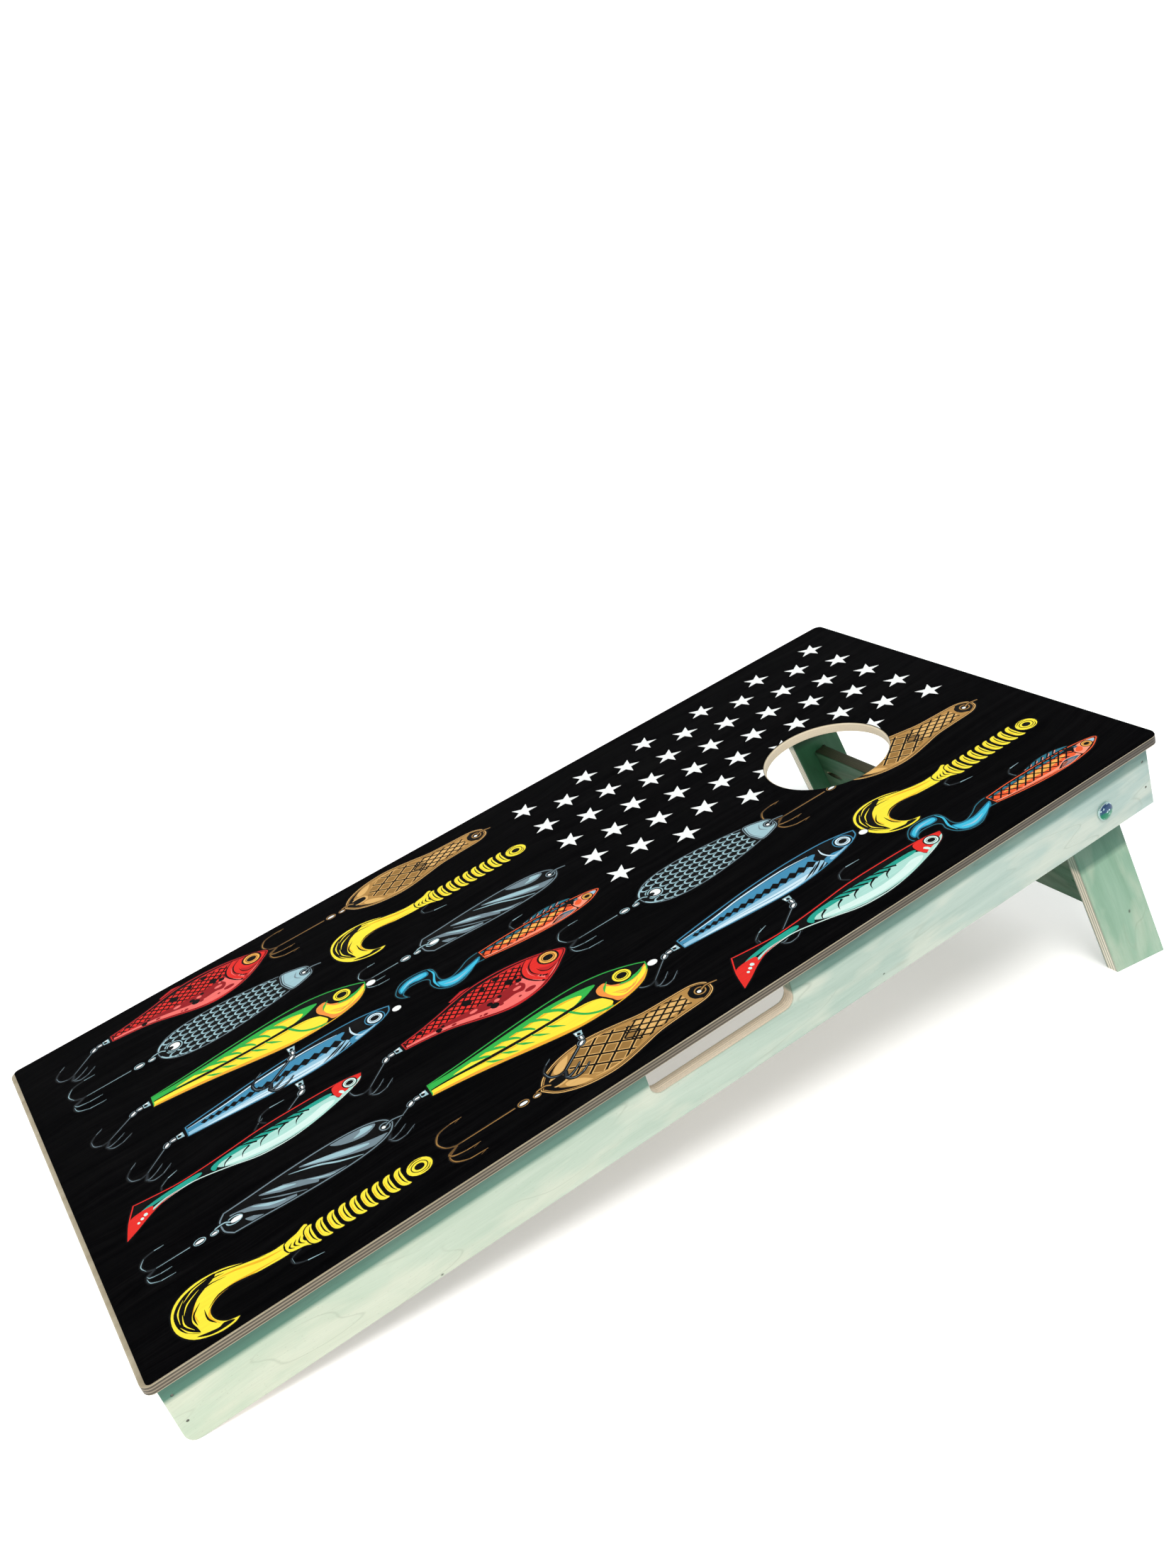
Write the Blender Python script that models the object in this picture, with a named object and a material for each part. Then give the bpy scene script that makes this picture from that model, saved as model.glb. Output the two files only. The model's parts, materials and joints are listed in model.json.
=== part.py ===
"""Cornhole board: a printed plywood deck on a shallow plywood frame, with a pair of folding legs.

Units are metres and +Z is up. The board stands open on its legs, low end towards -Y and high end
towards +Y, with the origin at the bottom centre of its bounding box.

The deck and frame are laid out in board coordinates, which an empty tilts into place: x runs
across the board, y along it from the low edge at 0, and z along the deck's normal, 0 at the
playing surface. The legs are laid out round their bolts' axis: z runs up the leg and y from its
front edge towards its rear edge.
"""

import math

import bmesh
import bpy
from mathutils import Matrix, Vector

GAP = 0.0003
CUT_MARGIN = 0.002

# Deck and printed film
DECK_LENGTH = 1.2192
DECK_WIDTH = 0.6096
DECK_THICK = 0.0115
DECK_CORNER_R = 0.010
DECK_EDGE_R = 0.0015
FILM_THICK = 0.0004
FILM_INSET = 0.0006
FILM_FRONT_MARGIN = 0.005
HOLE_R = 0.0762
HOLE_FROM_REAR = 0.230
HOLE_SEGMENTS = 72

# Frame
APRON_THICK = 0.018
APRON_HEIGHT = 0.075
OVERHANG_SIDE = 0.008
OVERHANG_FRONT = 0.009
OVERHANG_REAR = 0.013
APRON_EDGE_R = 0.0015
TOE_R = 0.012
SLOT_LENGTH = 0.177
SLOT_DEPTH = 0.0345
SLOT_R = 0.012

# Legs and stretcher
REAR_EDGE_HEIGHT = 0.3048
LEG_LEAN = math.radians(10.4)
LEG_THICK = 0.018
LEG_WIDTH = 0.072
LEG_BEHIND_PIVOT = 0.029
LEG_EDGE_R = 0.0015
PIVOT_FROM_FRONT = 1.1325
PIVOT_DROP = 0.0455
STRETCHER_THICK = 0.018
STRETCHER_HEIGHT = 0.073
STRETCHER_FROM_PIVOT = 0.130
MORTISE_DEPTH = 0.009
MORTISE_CORNER_R = 0.0038

# Pivot hardware
BOLT_R = 0.0047
BOLT_HEAD_R = 0.0108
BOLT_HEAD_HEIGHT = 0.0048
BOLT_NECK_WIDTH = 0.0094
BOLT_NECK_DEPTH = 0.006
BOLT_HOLE_R = 0.0051
WASHER_R = 0.0125
WASHER_THICK = 0.0014
NUT_ACROSS_FLATS = 0.0143
NUT_HEIGHT = 0.0085
NUT_COLLAR_R = 0.0062
NUT_COLLAR_HEIGHT = 0.0025
BOLT_PAST_NUT = 0.003

# Screws in angled pockets, and brads
POCKET_ANGLE = math.radians(15)
POCKET_R = 0.0048
POCKET_FROM_END = 0.015
PILOT_R = 0.0023
SCREW_R = 0.0019
SCREW_HEAD_R = 0.0043
SCREW_HEAD_HEIGHT = 0.0022
DECK_SCREW_BITE = 0.0085
LEG_SCREW_BITE = 0.0065
SIDE_SCREWS_AT = (0.130, 0.400, 0.830)
END_SCREWS_AT = (-0.160, 0.160)
BRAD_R = 0.0008
BRAD_HEAD_R = 0.0013
BRAD_HEAD_HEIGHT = 0.001
BRAD_LENGTH = 0.038
BRAD_SET = 0.0006
BRADS_BELOW_DECK = (0.017, 0.050)

# Levels and edges that follow, in board coordinates
DECK_TOP = -FILM_THICK - GAP
DECK_BOTTOM = DECK_TOP - DECK_THICK
APRON_TOP = DECK_BOTTOM - GAP
APRON_BOTTOM = APRON_TOP - APRON_HEIGHT
FRONT_FACE = OVERHANG_FRONT
REAR_FACE = DECK_LENGTH - OVERHANG_REAR
SIDE_FACE = DECK_WIDTH / 2 - OVERHANG_SIDE
SIDE_INNER = SIDE_FACE - APRON_THICK
HOLE_Y = DECK_LENGTH - HOLE_FROM_REAR
PIVOT = Vector((0, PIVOT_FROM_FRONT, DECK_BOTTOM - PIVOT_DROP))

# Tilt that stands the toes' rounded corners and the rear edge at their heights
TOE_CENTRE = Vector((0, FRONT_FACE + TOE_R, APRON_BOTTOM + TOE_R))
RISE = REAR_EDGE_HEIGHT - TOE_R
REAR_FROM_TOE = Vector((0, DECK_LENGTH, 0)) - TOE_CENTRE
TILT = math.asin(RISE / REAR_FROM_TOE.length) - math.atan2(REAR_FROM_TOE.z, REAR_FROM_TOE.y)
LEG_TILT = TILT + LEG_LEAN
TILTED = Matrix.Rotation(TILT, 4, "X")
FRONT_EDGE_HEIGHT = TOE_R - (TILTED @ TOE_CENTRE).z
PIVOT_HEIGHT = FRONT_EDGE_HEIGHT + (TILTED @ PIVOT).z

# Leg outline, about the pivot
LEG_REAR = LEG_BEHIND_PIVOT
LEG_FRONT = LEG_BEHIND_PIVOT - LEG_WIDTH
LEG_TOP_R = PIVOT_DROP - GAP
LEG_OUTER = SIDE_INNER - 2 * GAP - WASHER_THICK
LEG_INNER = LEG_OUTER - LEG_THICK
STRETCHER_HALF = LEG_INNER + MORTISE_DEPTH - GAP
STRETCHER_Y = (LEG_REAR + LEG_FRONT) / 2


def foot_level(y):
    """Height, in leg coordinates, at which the ground crosses the leg at y."""
    return -(PIVOT_HEIGHT + y * math.sin(LEG_TILT)) / math.cos(LEG_TILT)


# Reach of the deck's front edge and of the foot's rear corner, from the board's origin along Y
FRONT_REACH = (TILTED @ Vector((0, 0, DECK_TOP - DECK_EDGE_R))).y
FOOT_DROP = -foot_level(LEG_REAR)
REAR_REACH = (TILTED @ PIVOT).y + LEG_REAR * math.cos(LEG_TILT) + FOOT_DROP * math.sin(LEG_TILT)


# Materials

def material(name, colour, roughness, metallic=0.0):
    made = bpy.data.materials.new(name)
    made.use_nodes = True
    shader = made.node_tree.nodes["Principled BSDF"]
    shader.inputs["Base Color"].default_value = (*colour, 1)
    shader.inputs["Roughness"].default_value = roughness
    shader.inputs["Metallic"].default_value = metallic
    return made


# Objects

def add(name, mesh_maker, colours, parent, location=(0, 0, 0), rotation=None):
    """Turns a bmesh into a smooth-shaded object with its own material, under a parent empty."""
    bmesh.ops.recalc_face_normals(mesh_maker, faces=mesh_maker.faces)
    mesh = bpy.data.meshes.new(name)
    mesh_maker.to_mesh(mesh)
    mesh_maker.free()
    mesh.shade_smooth()
    mesh.set_sharp_from_angle(angle=math.radians(35))
    obj = bpy.data.objects.new(name, mesh)
    bpy.context.collection.objects.link(obj)
    obj.parent = parent
    turn = rotation or Matrix.Identity(4)
    obj.matrix_local = Matrix.Translation(location) @ turn
    if colours:
        mesh.materials.append(material(name, *colours))
    return obj


def empty(name, parent=None, location=(0, 0, 0), tilt=0.0):
    obj = bpy.data.objects.new(name, None)
    bpy.context.collection.objects.link(obj)
    obj.parent = parent
    obj.matrix_local = Matrix.Translation(location) @ Matrix.Rotation(tilt, 4, "X")
    return obj


def cut(target, cutter):
    """Takes the cutter's shape out of the target and keeps the cutter as a hidden guide."""
    cutter.hide_render = True
    cutter.display_type = "WIRE"
    boolean = target.modifiers.new(cutter.name, "BOOLEAN")
    boolean.operation = "DIFFERENCE"
    boolean.solver = "EXACT"
    boolean.object = cutter


# Shapes

def rounded(corners, segments=6):
    """Outline through (a, b, radius) corners, each round one drawn as an arc."""
    points = []
    for index, (a, b, radius) in enumerate(corners):
        here = Vector((a, b))
        if not radius:
            points.append(here)
            continue
        before = (Vector(corners[index - 1][:2]) - here).normalized()
        after = (Vector(corners[(index + 1) % len(corners)][:2]) - here).normalized()
        half = before.angle(after) / 2
        centre = here + (before + after).normalized() * radius / math.sin(half)
        start = here + before * radius / math.tan(half) - centre
        sweep = start.angle_signed(here + after * radius / math.tan(half) - centre)
        for step in range(segments + 1):
            points.append(centre + Matrix.Rotation(-sweep * step / segments, 2) @ start)
    return points


def prism(outline, low, high, across="X", edge_radius=0.0, keep_sharp=None, edge_segments=2):
    """Extrudes an outline along X (outline in YZ) or Z (outline in XY), with eased rims."""
    def place(point, depth):
        return (depth, point[0], point[1]) if across == "X" else (point[0], point[1], depth)

    made = bmesh.new()
    base = made.faces.new([made.verts.new(place(point, low)) for point in outline])
    rims = list(base.edges)
    grown = bmesh.ops.extrude_face_region(made, geom=[base], use_keep_orig=True)["geom"]
    moved = [item for item in grown if isinstance(item, bmesh.types.BMVert)]
    shift = Vector(place((0, 0), high)) - Vector(place((0, 0), low))
    bmesh.ops.translate(made, verts=moved, vec=shift)
    rims += [item for item in grown if isinstance(item, bmesh.types.BMEdge)]
    if edge_radius:
        eased = [edge for edge in rims if not (keep_sharp and keep_sharp(edge))]
        bmesh.ops.bevel(made, geom=eased, offset=edge_radius, segments=edge_segments,
                        profile=0.5, affect="EDGES")
    return made


def polygon(sides, across_flats):
    """Radius of a regular polygon's edge as a function of the angle, a corner at 180/sides degrees."""
    half = math.pi / sides

    def radius(angle):
        return across_flats / 2 / math.cos((angle + half) % (2 * half) - half)
    return radius


def loft(rings, segments, hollow=False):
    """Skins rings stacked on Z, each (radius or radius function, z). A hollow one joins last to first."""
    made = bmesh.new()
    loops = []
    for radius, z in rings:
        loop = []
        for step in range(segments):
            angle = math.tau * step / segments
            reach = radius(angle) if callable(radius) else radius
            loop.append(made.verts.new((reach * math.cos(angle), reach * math.sin(angle), z)))
        loops.append(loop)
    pairs = list(zip(loops, loops[1:]))
    if hollow:
        pairs.append((loops[-1], loops[0]))
    else:
        made.faces.new(loops[0])
        made.faces.new(loops[-1])
    for low, high in pairs:
        for step in range(segments):
            after = (step + 1) % segments
            made.faces.new((low[step], low[after], high[after], high[step]))
    return made


def rod(radius, low, high, segments):
    return loft([(radius, low), (radius, high)], segments)


def along(direction):
    """Rotation that lays local Z along a direction."""
    return Vector(direction).to_track_quat("Z", "Y").to_matrix().to_4x4()


# Colours: base colour, roughness, metallic

PRINT = ((0.015, 0.015, 0.016), 0.45)
DECK_PLY = ((0.33, 0.27, 0.21), 0.7)
APRON_PLY = ((0.66, 0.70, 0.58), 0.6)
LEG_PLY = ((0.52, 0.68, 0.52), 0.6)
ZINC = ((0.62, 0.68, 0.72), 0.3, 1.0)
SCREW_STEEL = ((0.60, 0.58, 0.52), 0.35, 1.0)
BRAD_STEEL = ((0.45, 0.44, 0.42), 0.45, 1.0)


# Deck

def deck_outline(inset=0.0, front_margin=0.0):
    half = DECK_WIDTH / 2 - inset
    front = max(inset, front_margin)
    rear = DECK_LENGTH - inset
    front_radius = DECK_CORNER_R - front
    rear_radius = DECK_CORNER_R - inset
    return rounded([(-half, front, front_radius), (half, front, front_radius),
                    (half, rear, rear_radius), (-half, rear, rear_radius)])


def hole_rings():
    """Bag hole through the deck, opening out round both eased edges."""
    quarter = [math.radians(angle) for angle in (0, 45, 90)]
    easing = [(HOLE_R + DECK_EDGE_R * (1 - math.sin(angle)), DECK_EDGE_R * (1 - math.cos(angle)))
              for angle in quarter]
    upper = [(radius, DECK_TOP - depth) for radius, depth in easing]
    lower = [(radius, DECK_BOTTOM + depth) for radius, depth in reversed(easing)]
    mouth = HOLE_R + DECK_EDGE_R
    return [(mouth, DECK_TOP + CUT_MARGIN), *upper, *lower, (mouth, DECK_BOTTOM - CUT_MARGIN)]


def make_deck(board):
    panel = prism(deck_outline(), DECK_BOTTOM, DECK_TOP, "Z", DECK_EDGE_R)
    deck = add("deck_panel", panel, DECK_PLY, board)
    hole = add("bag_hole_cutter", loft(hole_rings(), HOLE_SEGMENTS), None, board, (0, HOLE_Y, 0))
    cut(deck, hole)
    sheet = prism(deck_outline(FILM_INSET, FILM_FRONT_MARGIN), -FILM_THICK, 0, "Z")
    film = add("printed_film", sheet, PRINT, board)
    opening = rod(HOLE_R + DECK_EDGE_R + FILM_INSET, -FILM_THICK - CUT_MARGIN, CUT_MARGIN, HOLE_SEGMENTS)
    cut(film, add("film_hole_cutter", opening, None, board, (0, HOLE_Y, 0)))
    return deck


# Frame

def side_apron_outline():
    slot_start = (DECK_LENGTH - SLOT_LENGTH) / 2
    slot_end = slot_start + SLOT_LENGTH
    slot_floor = APRON_TOP - SLOT_DEPTH
    return rounded([
        (FRONT_FACE, APRON_BOTTOM, TOE_R), (REAR_FACE, APRON_BOTTOM, 0), (REAR_FACE, APRON_TOP, 0),
        (slot_end, APRON_TOP, 0), (slot_end, slot_floor, SLOT_R),
        (slot_start, slot_floor, SLOT_R), (slot_start, APRON_TOP, 0), (FRONT_FACE, APRON_TOP, 0),
    ])


def is_glued_top(edge):
    return all(abs(vert.co.z - APRON_TOP) < GAP for vert in edge.verts)


def make_side_apron(name, side, board):
    low, high = sorted((side * SIDE_INNER, side * SIDE_FACE))
    body = prism(side_apron_outline(), low, high, "X", APRON_EDGE_R, is_glued_top)
    return add(name, body, APRON_PLY, board)


def make_end_apron(name, low, high, low_radius, high_radius, board):
    half = SIDE_INNER - GAP
    corners = [(low, APRON_BOTTOM, low_radius), (high, APRON_BOTTOM, high_radius),
               (high, APRON_TOP, 0), (low, APRON_TOP, 0)]
    return add(name, prism(rounded(corners), -half, half), APRON_PLY, board)


# Legs, in leg coordinates

def leg_outline():
    """Flat on top to stop against the deck, round in front so that it can swing under it."""
    lean_sin, lean_cos = math.sin(LEG_LEAN), math.cos(LEG_LEAN)
    rear_top = (LEG_TOP_R - LEG_REAR * lean_sin) / lean_cos
    arc_start = math.pi / 2 - LEG_LEAN
    arc_end = math.pi - math.acos(-LEG_FRONT / LEG_TOP_R)
    steps = 12
    outline = [(LEG_FRONT, foot_level(LEG_FRONT)), (LEG_REAR, foot_level(LEG_REAR)), (LEG_REAR, rear_top)]
    for step in range(steps + 1):
        angle = arc_start + (arc_end - arc_start) * step / steps
        outline.append((LEG_TOP_R * math.cos(angle), LEG_TOP_R * math.sin(angle)))
    return outline


def mortise_outline():
    """Pocket for the stretcher's end, with a round relief through each corner."""
    half_y = STRETCHER_THICK / 2 + GAP
    half_z = STRETCHER_HEIGHT / 2 + GAP
    outline = []
    for index, (sign_y, sign_z) in enumerate(((1, 1), (-1, 1), (-1, -1), (1, -1))):
        diagonal = math.radians(45 + 90 * index)
        centre_y = STRETCHER_Y + sign_y * half_y - MORTISE_CORNER_R * math.cos(diagonal)
        centre_z = -STRETCHER_FROM_PIVOT + sign_z * half_z - MORTISE_CORNER_R * math.sin(diagonal)
        for step in range(9):
            angle = diagonal - math.pi / 2 + math.pi * step / 8
            outline.append((centre_y + MORTISE_CORNER_R * math.cos(angle),
                            centre_z + MORTISE_CORNER_R * math.sin(angle)))
    return outline


def make_leg(name, side, legs):
    low, high = sorted((side * LEG_INNER, side * LEG_OUTER))
    leg = add(name, prism(leg_outline(), low, high, "X", LEG_EDGE_R), LEG_PLY, legs)
    floor = side * (LEG_INNER + MORTISE_DEPTH)
    mouth = side * (LEG_INNER - CUT_MARGIN)
    pocket = prism(mortise_outline(), min(floor, mouth), max(floor, mouth))
    cut(leg, add(name + "_mortise_cutter", pocket, None, legs))
    bore = rod(BOLT_HOLE_R, -LEG_THICK, LEG_THICK, 24)
    middle = (side * (LEG_INNER + LEG_OUTER) / 2, 0, 0)
    cut(leg, add(name + "_bolt_cutter", bore, None, legs, middle, along((1, 0, 0))))
    return leg


def make_stretcher(legs):
    half_y = STRETCHER_THICK / 2
    half_z = STRETCHER_HEIGHT / 2
    outline = rounded([
        (STRETCHER_Y + sign_y * half_y, sign_z * half_z - STRETCHER_FROM_PIVOT, LEG_EDGE_R)
        for sign_y, sign_z in ((1, 1), (-1, 1), (-1, -1), (1, -1))
    ], 2)
    return add("leg_stretcher", prism(outline, -STRETCHER_HALF, STRETCHER_HALF), LEG_PLY, legs)


# Pivot hardware, in board coordinates

def bolt_rings(length):
    """Carriage bolt seen from its head at z = 0 down to its tip at -length."""
    square = polygon(4, BOLT_NECK_WIDTH)
    chamfer = 0.0008
    dome = [(BOLT_HEAD_R * math.cos(angle), BOLT_HEAD_HEIGHT * (0.25 + 0.75 * math.sin(angle)))
            for angle in (math.radians(degrees) for degrees in (0, 15, 32, 50, 68, 82))]
    return [(BOLT_R - chamfer, -length), (BOLT_R, chamfer - length), (BOLT_R, -BOLT_NECK_DEPTH),
            (square, -BOLT_NECK_DEPTH), (square, 0), (BOLT_HEAD_R, 0), *dome]


def washer_rings():
    ease = WASHER_THICK / 4
    return [(WASHER_R - ease, 0), (WASHER_R, ease), (WASHER_R, WASHER_THICK - ease),
            (WASHER_R - ease, WASHER_THICK), (BOLT_HOLE_R, WASHER_THICK), (BOLT_HOLE_R, 0)]


def nut_rings():
    """Lock nut, its flats towards the washer at z = 0 and its collar at the top."""
    hexagon = polygon(6, NUT_ACROSS_FLATS)
    inner = BOLT_R + GAP
    top = NUT_HEIGHT + NUT_COLLAR_HEIGHT
    return [(NUT_ACROSS_FLATS / 2, 0), (hexagon, 0.0008), (hexagon, NUT_HEIGHT - 0.0008),
            (NUT_ACROSS_FLATS / 2, NUT_HEIGHT), (NUT_COLLAR_R, NUT_HEIGHT), (NUT_COLLAR_R, top - 0.0006),
            (NUT_COLLAR_R - 0.0006, top), (inner, top), (inner, 0)]


def make_pivot(side_name, side, apron, board):
    """Bolt, washers and nut on the pivot's axis, counted inward from the apron's outer face."""
    inward = along((-side, 0, 0))
    outward = along((side, 0, 0))

    def on_axis(x):
        return (side * x, PIVOT.y, PIVOT.z)

    washer_seat = LEG_INNER - GAP
    nut_seat = washer_seat - WASHER_THICK - GAP
    tip = nut_seat - NUT_HEIGHT - NUT_COLLAR_HEIGHT - BOLT_PAST_NUT
    head_seat = SIDE_FACE + GAP
    add("carriage_bolt_" + side_name, loft(bolt_rings(head_seat - tip), 24), ZINC, board,
        on_axis(head_seat), outward)
    add("spacer_washer_" + side_name, loft(washer_rings(), 24, True), ZINC, board,
        on_axis(SIDE_INNER - GAP), inward)
    add("nut_washer_" + side_name, loft(washer_rings(), 24, True), ZINC, board, on_axis(washer_seat), inward)
    add("lock_nut_" + side_name, loft(nut_rings(), 24, True), ZINC, board, on_axis(nut_seat), inward)

    square = polygon(4, BOLT_NECK_WIDTH + 2 * GAP)
    socket = loft([(BOLT_HOLE_R, -APRON_THICK - CUT_MARGIN), (BOLT_HOLE_R, -BOLT_NECK_DEPTH - GAP),
                   (square, -BOLT_NECK_DEPTH - GAP), (square, CUT_MARGIN)], 24)
    cut(apron, add("bolt_socket_cutter_" + side_name, socket, None, board, on_axis(SIDE_FACE), outward))


# Screws and brads

def screw_rings(bite):
    """Pan-head screw with a square drive; z = 0 where its axis leaves the board it is driven through."""
    drive = polygon(4, 0.0026)
    seat = -POCKET_FROM_END - GAP
    top = seat - SCREW_HEAD_HEIGHT
    return [(drive, top + 0.0014), (drive, top), (SCREW_HEAD_R * 0.75, top), (SCREW_HEAD_R, top + 0.0007),
            (SCREW_HEAD_R, seat), (SCREW_R, seat), (SCREW_R, bite - 0.003), (SCREW_R * 0.15, bite)]


def pocket_rings(bite):
    """Angled pocket that runs out through the board's face, its step, and the pilot into the mate."""
    run_out = (APRON_THICK / 2 + POCKET_R) / math.sin(POCKET_ANGLE)
    return [(POCKET_R, -run_out), (POCKET_R, -POCKET_FROM_END), (PILOT_R, -POCKET_FROM_END),
            (PILOT_R, bite + GAP)]


def make_pocket_screw(name, board, mate, parent, leaves, face, end, bite):
    """Screw from a board's face out through its end, at the point where it leaves, into its mate."""
    lean = Vector(end) * math.cos(POCKET_ANGLE) - Vector(face) * math.sin(POCKET_ANGLE)
    pocket = add(name + "_cutter", loft(pocket_rings(bite), 16), None, parent, leaves, along(lean))
    cut(board, pocket)
    cut(mate, pocket)
    add(name, loft(screw_rings(bite), 16), SCREW_STEEL, parent, leaves, along(lean))


def make_brad(name, side, y, below, aprons, board):
    """Brad through a side apron into an end apron, its head set under the surface."""
    head_end = BRAD_SET + BRAD_HEAD_HEIGHT
    place = (side * SIDE_FACE, y, DECK_BOTTOM - below)
    inward = along((-side, 0, 0))
    hole = [(BRAD_HEAD_R + GAP, -CUT_MARGIN), (BRAD_HEAD_R + GAP, head_end + GAP),
            (BRAD_R + GAP, head_end + GAP), (BRAD_R + GAP, BRAD_SET + BRAD_LENGTH + GAP)]
    cutter = add(name + "_cutter", loft(hole, 8), None, board, place, inward)
    for apron in aprons:
        cut(apron, cutter)
    shape = [(BRAD_HEAD_R, BRAD_SET), (BRAD_HEAD_R, head_end), (BRAD_R, head_end),
             (BRAD_R, BRAD_SET + BRAD_LENGTH - 0.002), (BRAD_R * 0.4, BRAD_SET + BRAD_LENGTH)]
    add(name, loft(shape, 8), BRAD_STEEL, board, place, inward)


def make_board(board):
    deck = make_deck(board)
    side_aprons = {side: make_side_apron("side_apron_" + side_name, side, board)
                   for side_name, side in SIDES}
    front = make_end_apron("front_apron", FRONT_FACE, FRONT_FACE + APRON_THICK, TOE_R, APRON_EDGE_R, board)
    rear = make_end_apron("rear_apron", REAR_FACE - APRON_THICK, REAR_FACE, APRON_EDGE_R, APRON_EDGE_R, board)
    front_middle = FRONT_FACE + APRON_THICK / 2
    rear_middle = REAR_FACE - APRON_THICK / 2
    side_middle = SIDE_FACE - APRON_THICK / 2

    for side_name, side in SIDES:
        apron = side_aprons[side]
        make_pivot(side_name, side, apron, board)
        for index, y in enumerate(SIDE_SCREWS_AT, 1):
            make_pocket_screw(f"deck_screw_{side_name}_{index}", apron, deck, board,
                              (side * side_middle, y, APRON_TOP), (-side, 0, 0), (0, 0, 1), DECK_SCREW_BITE)
        for index, below in enumerate(BRADS_BELOW_DECK, 1):
            make_brad(f"brad_front_{side_name}_{index}", side, front_middle, below, (apron, front), board)
            make_brad(f"brad_rear_{side_name}_{index}", side, rear_middle, below, (apron, rear), board)

    for index, x in enumerate(END_SCREWS_AT, 1):
        make_pocket_screw(f"deck_screw_front_{index}", front, deck, board,
                          (x, front_middle, APRON_TOP), (0, 1, 0), (0, 0, 1), DECK_SCREW_BITE)
        make_pocket_screw(f"deck_screw_rear_{index}", rear, deck, board,
                          (x, rear_middle, APRON_TOP), (0, -1, 0), (0, 0, 1), DECK_SCREW_BITE)


def make_legs(legs):
    stretcher = make_stretcher(legs)
    for side_name, side in SIDES:
        leg = make_leg("leg_" + side_name, side, legs)
        leaves = (side * STRETCHER_HALF, STRETCHER_Y, -STRETCHER_FROM_PIVOT)
        make_pocket_screw("stretcher_screw_" + side_name, stretcher, leg, legs, leaves,
                          (0, -1, 0), (side, 0, 0), LEG_SCREW_BITE)


SIDES = (("right", 1), ("left", -1))

for leftover in list(bpy.data.objects):
    bpy.data.objects.remove(leftover, do_unlink=True)

middle_y = (FRONT_REACH + REAR_REACH) / 2
board_frame = empty("board_frame", None, (0, -middle_y, FRONT_EDGE_HEIGHT), TILT)
leg_frame = empty("leg_frame", board_frame, PIVOT, LEG_LEAN)
make_board(board_frame)
make_legs(leg_frame)
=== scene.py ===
"""Looks of the cornhole board: its plywood, its hardware and its printed playing face, in a pale studio.

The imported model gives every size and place. Board coordinates run across the deck, uphill along it
and out of its face. The artwork is drawn in millimetres, x to the right and y down the deck from
its high left corner, as a person standing at the low end sees it.
"""

import json
import math

import bmesh
import bpy
import numpy as np
from mathutils import Matrix, Vector
from mathutils.geometry import delaunay_2d_cdt


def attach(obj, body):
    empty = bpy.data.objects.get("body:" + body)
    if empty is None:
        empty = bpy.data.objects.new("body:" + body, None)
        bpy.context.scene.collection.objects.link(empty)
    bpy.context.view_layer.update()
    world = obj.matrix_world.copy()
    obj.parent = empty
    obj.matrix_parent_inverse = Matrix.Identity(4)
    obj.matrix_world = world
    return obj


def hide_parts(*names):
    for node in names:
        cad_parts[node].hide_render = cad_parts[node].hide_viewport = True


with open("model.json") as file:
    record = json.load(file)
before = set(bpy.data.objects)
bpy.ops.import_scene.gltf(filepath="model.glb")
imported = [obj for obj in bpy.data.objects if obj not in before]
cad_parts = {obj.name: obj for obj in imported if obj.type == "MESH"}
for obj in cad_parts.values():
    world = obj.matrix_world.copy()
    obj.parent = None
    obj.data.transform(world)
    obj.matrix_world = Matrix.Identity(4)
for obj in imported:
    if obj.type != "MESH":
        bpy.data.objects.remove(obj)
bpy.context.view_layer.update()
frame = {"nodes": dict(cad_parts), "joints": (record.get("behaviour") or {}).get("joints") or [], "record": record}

NODES = frame["nodes"]
MOUNTS = {mount["name"]: mount for mount in frame["record"]["mounts"]}
LEG_JOINT = frame["joints"][0]

# Directions of the board and of its open legs
ACROSS = Vector((1, 0, 0))
NORMAL = Vector(MOUNTS["playing_face"]["axis"])
UPHILL = NORMAL.cross(ACROSS)
LEG_LEAN = math.radians(LEG_JOINT["range_deg"][1] - 90)
LEG_UP = Matrix.Rotation(LEG_LEAN, 3, "X") @ NORMAL
LEG_REARWARD = LEG_UP.cross(ACROSS)


def span(node, axis):
    """Lowest and highest reach of a CAD node along an axis."""
    reach = [vertex.co.dot(axis) for vertex in NODES[node].data.vertices]
    return min(reach), max(reach)


LOW_EDGE, HIGH_EDGE = span("deck_panel", UPHILL)
FACE_LEVEL = span("printed_film", NORMAL)[1]
DECK_LENGTH = HIGH_EDGE - LOW_EDGE
DECK_WIDTH = 2 * span("deck_panel", ACROSS)[1]
BOARD = Matrix((ACROSS, UPHILL, NORMAL)).transposed().to_4x4()
BOARD.translation = UPHILL * LOW_EDGE + NORMAL * FACE_LEVEL


# Shader building

def srgb(red, green, blue):
    """Linear colour, with alpha, of a colour given in 8-bit sRGB."""
    def linear(level):
        share = level / 255
        return share / 12.92 if share <= 0.04045 else ((share + 0.055) / 1.055) ** 2.4
    return (linear(red), linear(green), linear(blue), 1.0)


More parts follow.
